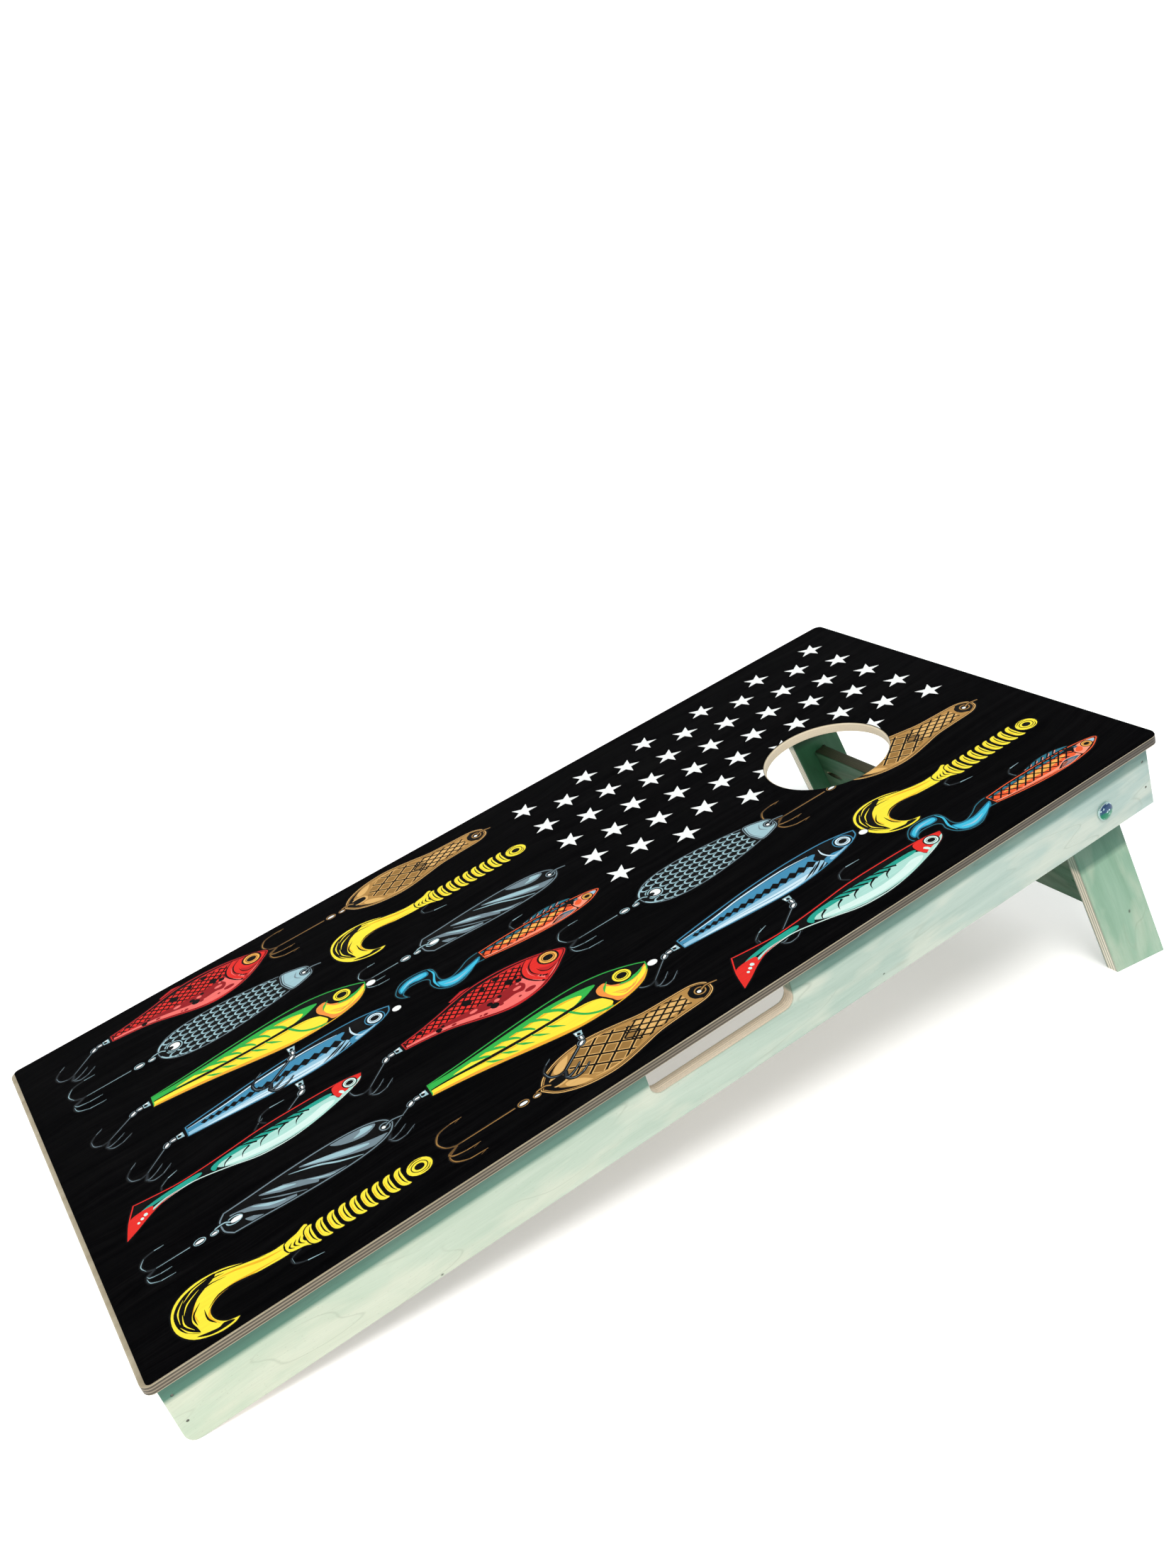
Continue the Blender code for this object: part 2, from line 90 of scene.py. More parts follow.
class Recipe:
    """A material under construction. Arguments are sockets to link or plain values."""

    def __init__(self, name):
        self.material = bpy.data.materials.new(name)
        self.material.use_nodes = True
        self.tree = self.material.node_tree
        self.shader = self.tree.nodes["Principled BSDF"]
        self.place = self.add("TexCoord").outputs["Object"]

    def add(self, kind, inputs=(), **settings):
        node = self.tree.nodes.new("ShaderNode" + kind)
        for key, value in settings.items():
            setattr(node, key, value)
        for socket, value in enumerate(inputs):
            if value is not None:
                self.give(node.inputs[socket], value)
        return node

    def give(self, socket, value):
        if isinstance(value, bpy.types.NodeSocket):
            self.tree.links.new(value, socket)
        else:
            socket.default_value = value

    def finish(self, **sockets):
        for name, value in sockets.items():
            self.give(self.shader.inputs[name.replace("_", " ")], value)
        return self.material

    def math(self, operation, *values):
        return self.add("Math", values, operation=operation).outputs[0]

    def times(self, first, second):
        return self.math("MULTIPLY", first, second)

    def minus(self, first, second):
        return self.math("SUBTRACT", first, second)

    def distance(self, first, second):
        squares = [self.times(value, value) for value in (first, second)]
        return self.math("SQRT", self.math("ADD", *squares))

    def along(self, axis):
        return self.add("VectorMath", (self.place, axis), operation="DOT_PRODUCT").outputs["Value"]

    def join(self, x, y, z):
        return self.add("CombineXYZ", (x, y, z)).outputs[0]

    def noise(self, vector, scale, detail=3.0, roughness=0.5):
        node = self.add("TexNoise")
        settings = {"Vector": vector, "Scale": scale, "Detail": detail, "Roughness": roughness}
        for name, value in settings.items():
            self.give(node.inputs[name], value)
        return node.outputs["Fac"]

    def fine_noise(self, scale, roughness):
        """Noise at its own scale along each of the object's axes."""
        vector = self.add("VectorMath", (self.place, scale), operation="MULTIPLY").outputs[0]
        return self.noise(vector, 1.0, 2, roughness)

    def grain(self, length, width, stretch, seed, *look):
        """Noise drawn out along the grain. stretch holds the factors of length and of width."""
        along, across = stretch
        return self.noise(self.join(self.times(length, along), self.times(width, across), seed), *look)

    def fit(self, value, low, high, to_low=0.0, to_high=1.0):
        return self.add("MapRange", (value, low, high, to_low, to_high)).outputs[0]

    def blend(self, share, first, second, mode="MIX"):
        node = self.add("Mix", data_type="RGBA", blend_type=mode)
        for socket, value in ((0, share), (6, first), (7, second)):
            self.give(node.inputs[socket], value)
        return node.outputs[2]

    def bump(self, height, strength, distance):
        node = self.add("Bump")
        for name, value in (("Strength", strength), ("Distance", distance), ("Height", height)):
            self.give(node.inputs[name], value)
        return node.outputs["Normal"]


# Plywood

WARM = srgb(226, 216, 198)
VEIN = srgb(122, 124, 104)
KNOT = srgb(52, 54, 44)
HOLE_WALL = srgb(232, 216, 190)
# Linear factors of painted shade: under the deck's overhang on the aprons and at the legs' heads below the aprons,
# and on the legs' inner faces
PAINTED_SHADE = (0.15, 0.32, 0.30, 1.0)
PAINTED_INNER_SHADE = (0.09, 0.30, 0.18, 1.0)

# Pale and dark tones of the face veneers, and tones of the inner plies at the grain's two ends
APRON_LOW = ((192, 202, 182), (179, 193, 171))
APRON_HIGH = ((164, 181, 175), (143, 164, 160))
APRON_CORE = ((255, 242, 222), (255, 238, 214))
# The legs' faces darken from foot to head: the darker LEG_HEAD tones are painted shade below the aprons
LEG_FOOT = ((146, 173, 153), (130, 161, 138))
LEG_HEAD = ((110, 148, 124), (94, 134, 110))
LEG_CORE = ((255, 250, 230), (255, 246, 220))
# The stretcher's dark green face tones are painted shade, and so is the dark green of its inner plies at its left
# end
STRETCHER = ((44, 88, 60), (28, 70, 44))
STRETCHER_CORE = ((74, 88, 68), (206, 184, 154))
DECK = ((164, 152, 128), (147, 134, 110))
DECK_CORE = ((148, 135, 116), (92, 83, 74))

APRON_PLIES = 13
LEG_PLIES = 9
DECK_PLIES = 7
# Each knot's place along and across the grain, and its radius
APRON_KNOTS = ((-0.33, 0.110, 0.0012), (0.21, 0.117, 0.0010))
LEG_KNOT_SHARE = 0.30
LEG_KNOT_ASIDE = 0.008
LEG_KNOT_RADIUS = 0.0018
# How far below the side apron's top the shade on the aprons starts and is full, and how far below its rim
# the shade on the legs does
APRON_SHADE = (0.0225, 0.0170)
LEG_SHADE = (0.050, 0.041)
HOLE_FROM_REAR = 0.230
HOLE_RADIUS = 0.0762
# How far past the hole's radius the pale colour of its wall starts to fade, and ends
WALL_DEPTHS = (0.0004, 0.0012)


def dress(node, material):
    """Gives a CAD node its material."""
    slots = NODES[node].data.materials
    slots.clear()
    slots.append(material)


def plywood(node, grain, depth, plies, near, far, core, shift, knots=(), shade=None, inner_shade=0.0,
            warmth=0.5, crossing=0.95, hole=None):
    """Makes one piece plywood, its plies stacked along depth and its face grain running along grain.

    near and far are the pale and dark tones of its face veneers at the two ends of the grain, and core holds
    the tones of its inner plies there. shade holds the levels between which painted shade darkens the wood
    upwards, and how much it does so at the two ends of the grain. inner_shade is how much painted shade darkens
    its far face, and warmth how far its beige patches show. crossing is the tone of the plies that run across.
    hole is the place along the grain, and the radius, of a pale cut hole.
    """
    low, high = span(node, depth)
    make = Recipe(node)
    length = make.along(grain)
    width = make.along(depth.cross(grain))
    level = make.fit(make.along(depth), low, high, 0, plies)
    ply = make.math("FLOOR", make.math("MINIMUM", make.math("MAXIMUM", level, 0.02), plies - 0.02))
    wander = make.noise(make.join(length, make.times(width, 2.5), shift), 3.2, 2)
    bent = make.math("MULTIPLY_ADD", wander, 0.045, width)

    figure = make.grain(length, bent, (2.2, 30), make.math("MULTIPLY_ADD", ply, 7.3, shift), 1.6, 6, 0.62)
    patch = make.grain(length, bent, (7, 22), shift, 1.5, 3)
    fibre = make.grain(length, bent, (30, 900), make.times(ply, 3.1), 1.0, 3, 0.7)
    place = make.fit(length, *span(node, grain))
    pale = make.blend(place, srgb(*near[0]), srgb(*far[0]))
    dark = make.blend(place, srgb(*near[1]), srgb(*far[1]))
    face = make.blend(make.fit(figure, 0.36, 0.66), pale, dark)
    face = make.blend(make.fit(patch, 0.46, 0.62, 0.0, warmth), face, make.blend(0.5, pale, WARM))
    ridge = make.grain(length, bent, (2.6, 13), shift, 1.0, 2)
    contour = make.math("PINGPONG", make.times(ridge, 9.0), 0.5)
    vein = make.times(make.fit(contour, 0.0, 0.035, 0.34, 0.0), make.fit(patch, 0.4, 0.55))
    face = make.blend(vein, face, make.blend(0.6, dark, VEIN))
    streak = make.fit(fibre, 0.35, 0.75, 1.02, 0.94)

    cells = make.add("TexVoronoi", (make.join(make.times(length, 60), make.times(bent, 330), shift),))
    pick = make.add("SeparateColor", (cells.outputs["Color"],)).outputs[0]
    rare = make.math("GREATER_THAN", pick, 0.955)
    fleck = make.times(rare, make.fit(cells.outputs["Distance"], 0.10, 0.30, 0.6, 0.0))
    face = make.blend(fleck, face, VEIN)
    for knot_length, knot_width, radius in knots:
        aside = make.times(make.minus(width, knot_width), 1.5)
        reach = make.distance(make.minus(length, knot_length), aside)
        reach = make.math("MULTIPLY_ADD", fibre, 0.6 * radius, reach)
        face = make.blend(make.fit(reach, radius * 0.6, radius * 2.2, 0.9, 0.0), face, KNOT)

    def ply_tone(share):
        return make.blend(place, *(srgb(*(tone * share for tone in end)) for end in core))

    pores = make.fine_noise((1500, 1500, 1500), 0.6)
    end_grain = make.blend(make.fit(pores, 0.3, 0.7), ply_tone(crossing), ply_tone(crossing * 0.84))
    long_grain = make.blend(make.fit(figure, 0.34, 0.66), ply_tone(1.0), ply_tone(0.88))
    crossed = make.math("MODULO", ply, 2.0)
    colour = make.blend(crossed, long_grain, end_grain)
    off_middle = make.math("ABSOLUTE", make.minus(level, plies / 2))
    outermost = make.math("GREATER_THAN", off_middle, plies / 2 - 1)
    colour = make.blend(outermost, colour, face)
    colour = make.blend(1.0, colour, make.join(streak, streak, streak), "MULTIPLY")
    seam = make.math("PINGPONG", level, 0.5)
    inside = make.math("COMPARE", level, plies / 2, plies / 2 - 0.4)
    glue = make.times(make.fit(seam, 0.03, 0.11, 0.75, 0.0), inside)
    colour = make.blend(glue, colour, ply_tone(0.5))
    # Painted shade on the far face, which is the legs' inner face
    if inner_shade:
        far_face = make.times(make.math("GREATER_THAN", level, plies - 1), inner_shade)
        colour = make.blend(far_face, colour, PAINTED_INNER_SHADE, "MULTIPLY")
    # Painted shade, full above a level: under the deck's overhang on the aprons, and at the legs' heads below the
    # aprons
    if shade:
        below, above, *strengths = shade
        amount = make.fit(make.along(NORMAL), below, above, 0.0, make.fit(place, 0.0, 1.0, *strengths))
        colour = make.blend(amount, colour, PAINTED_SHADE, "MULTIPLY")
    if hole:
        middle, radius = hole
        apart = make.distance(make.minus(length, middle), width)
        wall = make.fit(apart, *(radius + wall_depth for wall_depth in WALL_DEPTHS), 0.85, 0.0)
        wall = make.times(wall, make.fit(pores, 0.3, 0.7, 1.0, 0.8))
        colour = make.blend(wall, colour, HOLE_WALL)

    relief = make.minus(make.math("MULTIPLY_ADD", crossed, -0.5, fibre), fleck)
    dress(node, make.finish(
        Base_Color=colour,
        Roughness=make.fit(figure, 0.3, 0.7, 0.42, 0.58),
        Specular_IOR_Level=0.3,
        Normal=make.bump(relief, 0.35, 0.0003),
    ))


def dress_wood():
    rim, top = span("side_apron_right", NORMAL)
    apron_levels = [top - depth for depth in APRON_SHADE]
    leg_levels = [rim - depth for depth in LEG_SHADE]
    for side, inwards, shift in (("right", -ACROSS, 3.7), ("left", ACROSS, 11.2)):
        plywood("side_apron_" + side, UPHILL, ACROSS, APRON_PLIES, APRON_LOW, APRON_HIGH, APRON_CORE, shift,
                APRON_KNOTS, shade=(*apron_levels, 1.0, 0.72))
        leg = "leg_" + side
        foot, head = span(leg, LEG_UP)
        middle = sum(span(leg, inwards.cross(LEG_UP))) / 2
        knot = (foot + LEG_KNOT_SHARE * (head - foot), middle + LEG_KNOT_ASIDE, LEG_KNOT_RADIUS)
        plywood(leg, LEG_UP, inwards, LEG_PLIES, LEG_FOOT, LEG_HEAD, LEG_CORE, shift + 1.9, (knot,),
                shade=(*leg_levels, 0.8, 0.8), inner_shade=1.0, warmth=0.35, crossing=0.74)
    for end, tones, shift in (("front", APRON_LOW, 5.1), ("rear", APRON_HIGH, 8.3)):
        plywood(end + "_apron", ACROSS, UPHILL, APRON_PLIES, tones, tones, APRON_CORE, shift,
                shade=(*apron_levels, 0.6, 0.6))
    plywood("leg_stretcher", ACROSS, LEG_REARWARD, APRON_PLIES, STRETCHER, STRETCHER, STRETCHER_CORE, 6.4,
            warmth=0.1)
    plywood("deck_panel", UPHILL, NORMAL, DECK_PLIES, DECK, DECK, DECK_CORE, 2.2, warmth=0.2, crossing=0.62,
            hole=(HIGH_EDGE - HOLE_FROM_REAR, HOLE_RADIUS))


# Metal

def metal(name, colour, tarnish, roughness, scale):
    """Plated steel, mottled with tarnish and finely scratched."""
    make = Recipe(name)
    blotch = make.noise(make.place, 180 * scale, 4, 0.6)
    scratch = make.fine_noise((900, 5200, 5200), 0.7)
    return make.finish(
        Base_Color=make.blend(make.fit(blotch, 0.4, 0.68), srgb(*colour), srgb(*tarnish)),
        Metallic=1.0,
        Roughness=make.fit(make.math("ADD", blotch, scratch), 0.7, 1.3, roughness - 0.08, roughness + 0.12),
        Normal=make.bump(scratch, 0.12, 0.0001),
    )


def bolt_plate_with_painted_light(node):
    """Polished zinc plate with painted reflections, deep blue above and sea green below, and painted highlights in
    a few pale patches and round its rim.
    """
    make = Recipe(node)
    blotch = make.noise(make.place, 160, 4, 0.6)
    low, high = span(node, NORMAL)
    rise = make.minus(make.along(NORMAL), (low + high) / 2)
    reach = make.minus(make.along(UPHILL), sum(span(node, UPHILL)) / 2)
    # Painted highlight: a pale ring round the bolt head's rim
    rim = make.fit(make.distance(rise, reach), (high - low) * 0.43, (high - low) * 0.49)
    # Painted reflection: sea green below the head's middle, deep blue above it
    lift = make.fit(make.math("MULTIPLY_ADD", blotch, 0.006, rise), 0.0015, 0.0045)
    scratch = make.fine_noise((1400, 300, 5200), 0.7)
    plate = make.blend(lift, srgb(0, 116, 84), srgb(30, 62, 100))
    # Painted highlights in a few pale patches
    painted_glint = make.fit(make.noise(make.place, 210, 3, 0.7), 0.60, 0.68)
    return make.finish(
        Base_Color=make.blend(make.math("MAXIMUM", painted_glint, rim), plate, srgb(196, 222, 222)),
        Metallic=1.0,
        Roughness=make.fit(make.math("ADD", blotch, scratch), 0.7, 1.3, 0.1, 0.24),
        Coat_Weight=0.6,
        Coat_Roughness=0.06,
        Normal=make.bump(scratch, 0.1, 0.0001),
    )


def dress_metal():
    zinc = metal("zinc_plate", (188, 208, 222), (120, 168, 176), 0.2, 1.0)
    yellow_zinc = metal("yellow_zinc_plate", (214, 204, 176), (168, 150, 112), 0.34, 2.0)
    wire = metal("brad_wire", (120, 118, 112), (76, 74, 68), 0.42, 3.0)
    for node in NODES:
        if "bolt" in node:
            dress(node, bolt_plate_with_painted_light(node))
        elif "nut" in node or "washer" in node:
            dress(node, zinc)
        elif "screw" in node:
            dress(node, yellow_zinc)
        elif "brad" in node:
            dress(node, wire)


# Printed artwork: outlines in millimetres, painted one over another

INKS = {
    "black": (5, 5, 6), "white": (244, 245, 245),
    "gold": (178, 134, 74), "gold_light": (222, 176, 108), "gold_dark": (150, 112, 60),
    "yellow": (252, 230, 62), "amber": (240, 182, 40),
    "orange": (240, 94, 50), "peach": (252, 152, 124), "ochre": (244, 176, 84),
    "lake": (44, 112, 132), "cyan": (64, 188, 222), "cyan_dark": (34, 118, 150),
    "steel": (116, 134, 144), "steel_light": (160, 194, 204), "wire": (38, 43, 48), "bronze": (104, 76, 42),
    "blue": (66, 138, 176), "blue_light": (150, 194, 218), "blue_pale": (208, 230, 242),
    "teal": (38, 160, 142), "mint": (174, 220, 210), "mint_light": (216, 240, 234),
    "red": (228, 46, 40), "crimson": (196, 38, 40), "salmon": (242, 114, 108), "wine": (150, 28, 34),
    "green": (52, 176, 74), "apricot": (244, 148, 68),
}
# The shortest step that gives a line a direction, the thinnest brush line, and a lure's black surround
SHORTEST = 1e-9
THINNEST = 0.1
SURROUND = 1.8
# How far in a star's inner corners lie, as a share of its radius
STAR_WAIST = 0.382


def smooth(points, closed=True, steps=4):
    """Catmull-Rom curve through a few points. A point given twice is a corner."""
    last = len(points) - 1
    curve = []
    for index in range(len(points) if closed else last):
        around = [index + offset for offset in (-1, 0, 1, 2)]
        if closed:
            around = [place % (last + 1) for place in around]
        else:
            around = [min(max(place, 0), last) for place in around]
        knots = [points[place] for place in around]
        if knots[1] == knots[2]:
            continue
        for step in range(steps):
            t = step / steps
            curve.append(tuple(
                0.5 * (2 * b + (c - a) * t + (2 * a - 5 * b + 4 * c - d) * t ** 2
                       + (3 * b - a - 3 * c + d) * t ** 3)
                for a, b, c, d in zip(*knots)))
    if not closed:
        curve.append(points[-1])
    return curve


def unit(ahead):
    return ahead / np.maximum(np.linalg.norm(ahead, axis=1, keepdims=True), SHORTEST)


def grown(outline, margin):
    """A closed outline moved outwards, or inwards where margin is negative."""
    points = np.array(outline, float)
    after = np.roll(points, -1, axis=0)
    ahead = unit(after - np.roll(points, 1, axis=0))
    area = np.sum(points[:, 0] * after[:, 1] - after[:, 0] * points[:, 1])
    outwards = np.column_stack((ahead[:, 1], -ahead[:, 0])) * math.copysign(1, area)
    return [tuple(point) for point in points + outwards * margin]


def stroke(points, *widths, steps=4):
    """Outline of a brush line through points, its width changing evenly from each given width to the next."""
    line = np.array(smooth(points, False, steps) if len(points) > 2 else points, float)
    ahead = unit(np.gradient(line, axis=0))
    share = np.linspace(0, len(widths) - 1, len(line))
    half = np.maximum(np.interp(share, range(len(widths)), widths), THINNEST)[:, None] / 2
    side = np.column_stack((-ahead[:, 1], ahead[:, 0])) * half
    return [tuple(point) for point in np.vstack((line + side, (line - side)[::-1]))]


def disc(x, y, radius, tall=1.0, sides=20):
    turns = [math.tau * side / sides for side in range(sides)]
    return [(x + radius * math.cos(turn), y + radius * tall * math.sin(turn)) for turn in turns]


def mirrored(half, steps=4):
    """Closed outline from the right half of a shape, its points running from top to bottom."""
    right = smooth(half, False, steps)
    return right + [(-x, y) for x, y in reversed(right[1:-1])]


def star(x, y, radius):
    """Five-pointed star with one point towards +X."""
    turns = [(math.tau * index / 10, radius * (STAR_WAIST if index % 2 else 1)) for index in range(10)]
    return [(x + reach * math.cos(turn), y + reach * math.sin(turn)) for turn, reach in turns]


def moved(layers, x, y, turn=0.0, size=1.0):
    """Layers scaled and turned about their own origin, by degrees clockwise, and then shifted."""
    cosine = size * math.cos(math.radians(turn))
    sine = size * math.sin(math.radians(turn))

    def shift(outline):
        return outline and [(x + a * cosine - b * sine, y + a * sine + b * cosine) for a, b in outline]
    return [(ink, shift(outline), shift(mask)) for ink, outline, mask in layers]


def paint(ink, *outlines, mask=None):
    return [(ink, outline, mask) for outline in outlines]


def shapes(ink, mask, *outlines):
    """Smooth shapes, each given by a few points of its outline."""
    return paint(ink, *(smooth(points) for points in outlines), mask=mask)


def lines(ink, mask, *routes):
    """Brush lines, each given by its points and then its widths from start to end."""
    return paint(ink, *(stroke(*route) for route in routes), mask=mask)


def discs(x, y, *rounds):
    """Discs about one middle, each given by its ink, its radius and, unless it's round, how tall it is."""
    return [layer for ink, *size in rounds for layer in paint(ink, disc(x, y, *size))]


def edged(ink, outline, margin, mask=None):
    """A shape and the black edge around it."""
    return paint("black", grown(outline, margin), mask=mask) + paint(ink, outline, mask=mask)


def rimmed(body, rim, ground="black", thick=1.5):
    """A body's black surround, its coloured rim line and its ground."""
    return edged(rim, body, SURROUND) + paint(ground, grown(body, -thick))


# Hooks and their fittings, hanging down from their origin

# Size of the trebles below the minnows and cranks
JOINTED_SIZE = 0.74


def treble(length, shade, shine, size=1.0):
    """Hook with one shank and three points. Its wire is dark, and shines along its bends and points."""
    bends = (
        ((0, -9), (-5, 0), (-17, 4), (-29, -3), (-33, -18), (-33, -31)),
        ((1, -10), (6, 2), (11, -1), (14, -14), (14, -29)),
        ((2, -8), (10, 3), (20, 1), (27, -11), (28, -30)),
    )
    bends = [[(x * size, length + y * size) for x, y in bend] for bend in bends]
    shank = [(0, 0), (0, length - 6 * size)]
    art = lines("black", None, (shank, 4.2, 4.2), *((bend, 4.4, 4.6, 2.2) for bend in bends))
    wire = [(shank, 1.7, 1.5)] + [(bend, 1.6, 2.2, 0.3) for bend in bends]
    glint = [([(0.3, 1), (0.3, length * 0.8)], 0.8, 0.4)]
    for bend in bends:
        glint += [(bend[1:4], 0.2, 0.9, 0.2), (bend[-2:], 0.8, 0.3)]
        x, y = bend[-1]
        wire.append(([(x + 2.8 * size, y + 9 * size), (x + 0.3, y + 3 * size)], 0.3, 1.4))
    return art + lines(shade, None, *wire) + lines(shine, None, *glint)


def bead(x, y, radius, ink):
    art = discs(x, y, ("black", radius + 1.7, 1.35), (ink, radius + 0.7, 1.35), ("black", radius, 1.35))
    return art + paint("white", disc(x + 0.3, y, radius * 0.5, 2.3))


def hanging_hook(length, ink, shade, size=1.0):
    """Split ring, swivel and treble below a spoon's lower eye."""
    ring = [(0, -10), (-4, -5), (-3.4, 4), (0, 8)]
    art = lines("black", None, (ring, 4.2, 4.2)) + lines(ink, None, (ring, 1.8, 1.6, 1.2))
    art += bead(1.5, 7, 2.6, ink) + bead(0.5, 22, 4.0, ink)
    return art + moved(treble(length - 31, shade, ink, size), 0, 31)


def single_hook(route):
    """Point of a hook that comes out of a soft body."""
    art = lines("black", None, (route, 3.6, 4, 2)) + lines("wire", None, (route, 1.2, 2.0, 0.3))
    return art + lines("steel_light", None, (route[1:3], 0.2, 1.1, 0.2), (route[-2:], 1.2, 0.3))


def jointed_hook(reach, lean):
    """Cap and two beads that leave a body straight, and a treble that hangs off them at an angle."""
    cap = [(-4.6, 0), (4.6, 0), (3.4, 7.5), (-3.4, 7.5)]
    fitting = edged("steel_light", cap, 1.6) + paint("black", disc(0, 4.6, 2.2))
    fitting += paint("white", disc(-2.6, 3, 1.1, 1.8))
    hook = moved(treble(reach, "wire", "steel", JOINTED_SIZE), 0, 9)
    below = moved(bead(0, 4, 3.2, "steel") + hook, 0, 16.5, lean)
    return below + bead(0, 11.4, 2.6, "steel") + fitting


def eye(x, y, radius, ink):
    """Round eye with a double ring and an upright pupil."""
    rounds = (("black", 1.2), (ink, 1.0), ("black", 0.74), (ink, 0.66), ("black", 0.5, 1.18))
    return discs(x, y, *((shade, radius * share, *tall) for shade, share, *tall in rounds))


def ring_eye(x, y, radius, ink):
    """Eyelet at a spoon's top, with the wire loop that comes out of it."""
    loop = [(x, y - 1), (x - 3, y - 9), (x, y - 21)]
    art = discs(x, y, ("black", radius + 2.2), (ink, radius + 1), ("black", radius - 0.4))
    art += paint("white", disc(x + 0.5, y + 1.5, radius * 0.42))
    return art + lines("black", None, (loop, 4.4, 4.4)) + lines(ink, None, (loop, 2.0, 1.6, 1.2))


def lattice(mask, centre, reach, top, bottom, pitch, slope, width, ink="black"):
    """Crossed lines that fill a mask between two heights."""
    rise = 2 * reach * slope
    bars = []
    start = top - rise
    while start < bottom:
        for side in (-1, 1):
            ends = [(centre - side * reach, start), (centre + side * reach, start + rise)]
            bars.append((ends, width, width))
        start += pitch
    return lines(ink, mask, *bars)


# Lures, each with its nose or eyelet at the top

def gold_spoon():
    body = mirrored([
        (0, 15), (9, 18), (16, 31), (18, 60), (20, 88), (26, 112), (32, 138), (33, 160), (28, 186),
        (16, 208), (0, 219)])
    plate = mirrored([
        (0, 41), (7, 39), (13.4, 33), (15, 60), (17, 90), (22.6, 114), (28.4, 140), (29.6, 160),
        (25.6, 182), (15, 198), (7, 203), (0, 190)])
    waist = mirrored([(0, 45), (10, 45), (13.6, 64), (15, 88), (17, 104), (10, 115), (0, 121)])
    lit = mirrored([(0, 45), (8, 47), (10, 66), (12, 88), (14, 102), (8, 110), (0, 116)])
    belly = mirrored([(0, 101), (16, 109), (24, 130), (26, 152), (20, 170), (0, 187)])
    art = rimmed(body, "gold_light", thick=1.3) + paint("gold", grown(body, -2.2))
    art += paint("black", grown(body, -3.2)) + paint("gold", plate) + paint("gold_light", lit, mask=plate)
    art += lines(
        "gold_light", plate, ([(-26, 132), (-27.4, 152), (-25, 170)], 0.5, 2, 0.5),
        ([(26, 132), (27.4, 152), (25, 170)], 0.5, 2, 0.5))
    art += paint("gold_dark", belly, mask=plate)
    art += lattice(belly, 0, 30, 92, 190, 24, 1.3, 4.6, "gold_light")
    art += lattice(belly, 0, 30, 92, 190, 24, 1.3, 2.4)
    art += lattice(waist, 0, 22, 30, 130, 15.5, 1.5, 2.1)
    drop = smooth([
        (-26, 173), (-26, 173), (-17, 179), (-9.8, 188), (-9.6, 196), (-16, 195.4), (-22.6, 186)])
    art += paint("gold_light", drop, [(-x, y) for x, y in drop])
    art += paint("gold_light", mirrored([(0, 187), (6, 190), (8, 200), (6, 206), (0, 206)]))
    art += paint("black", mirrored([(0, 190), (4, 192), (5.6, 201), (4, 208), (0, 209)]))
    return art + ring_eye(0, 28, 5.6, "gold") + moved(hanging_hook(106, "gold", "bronze"), 0, 217)


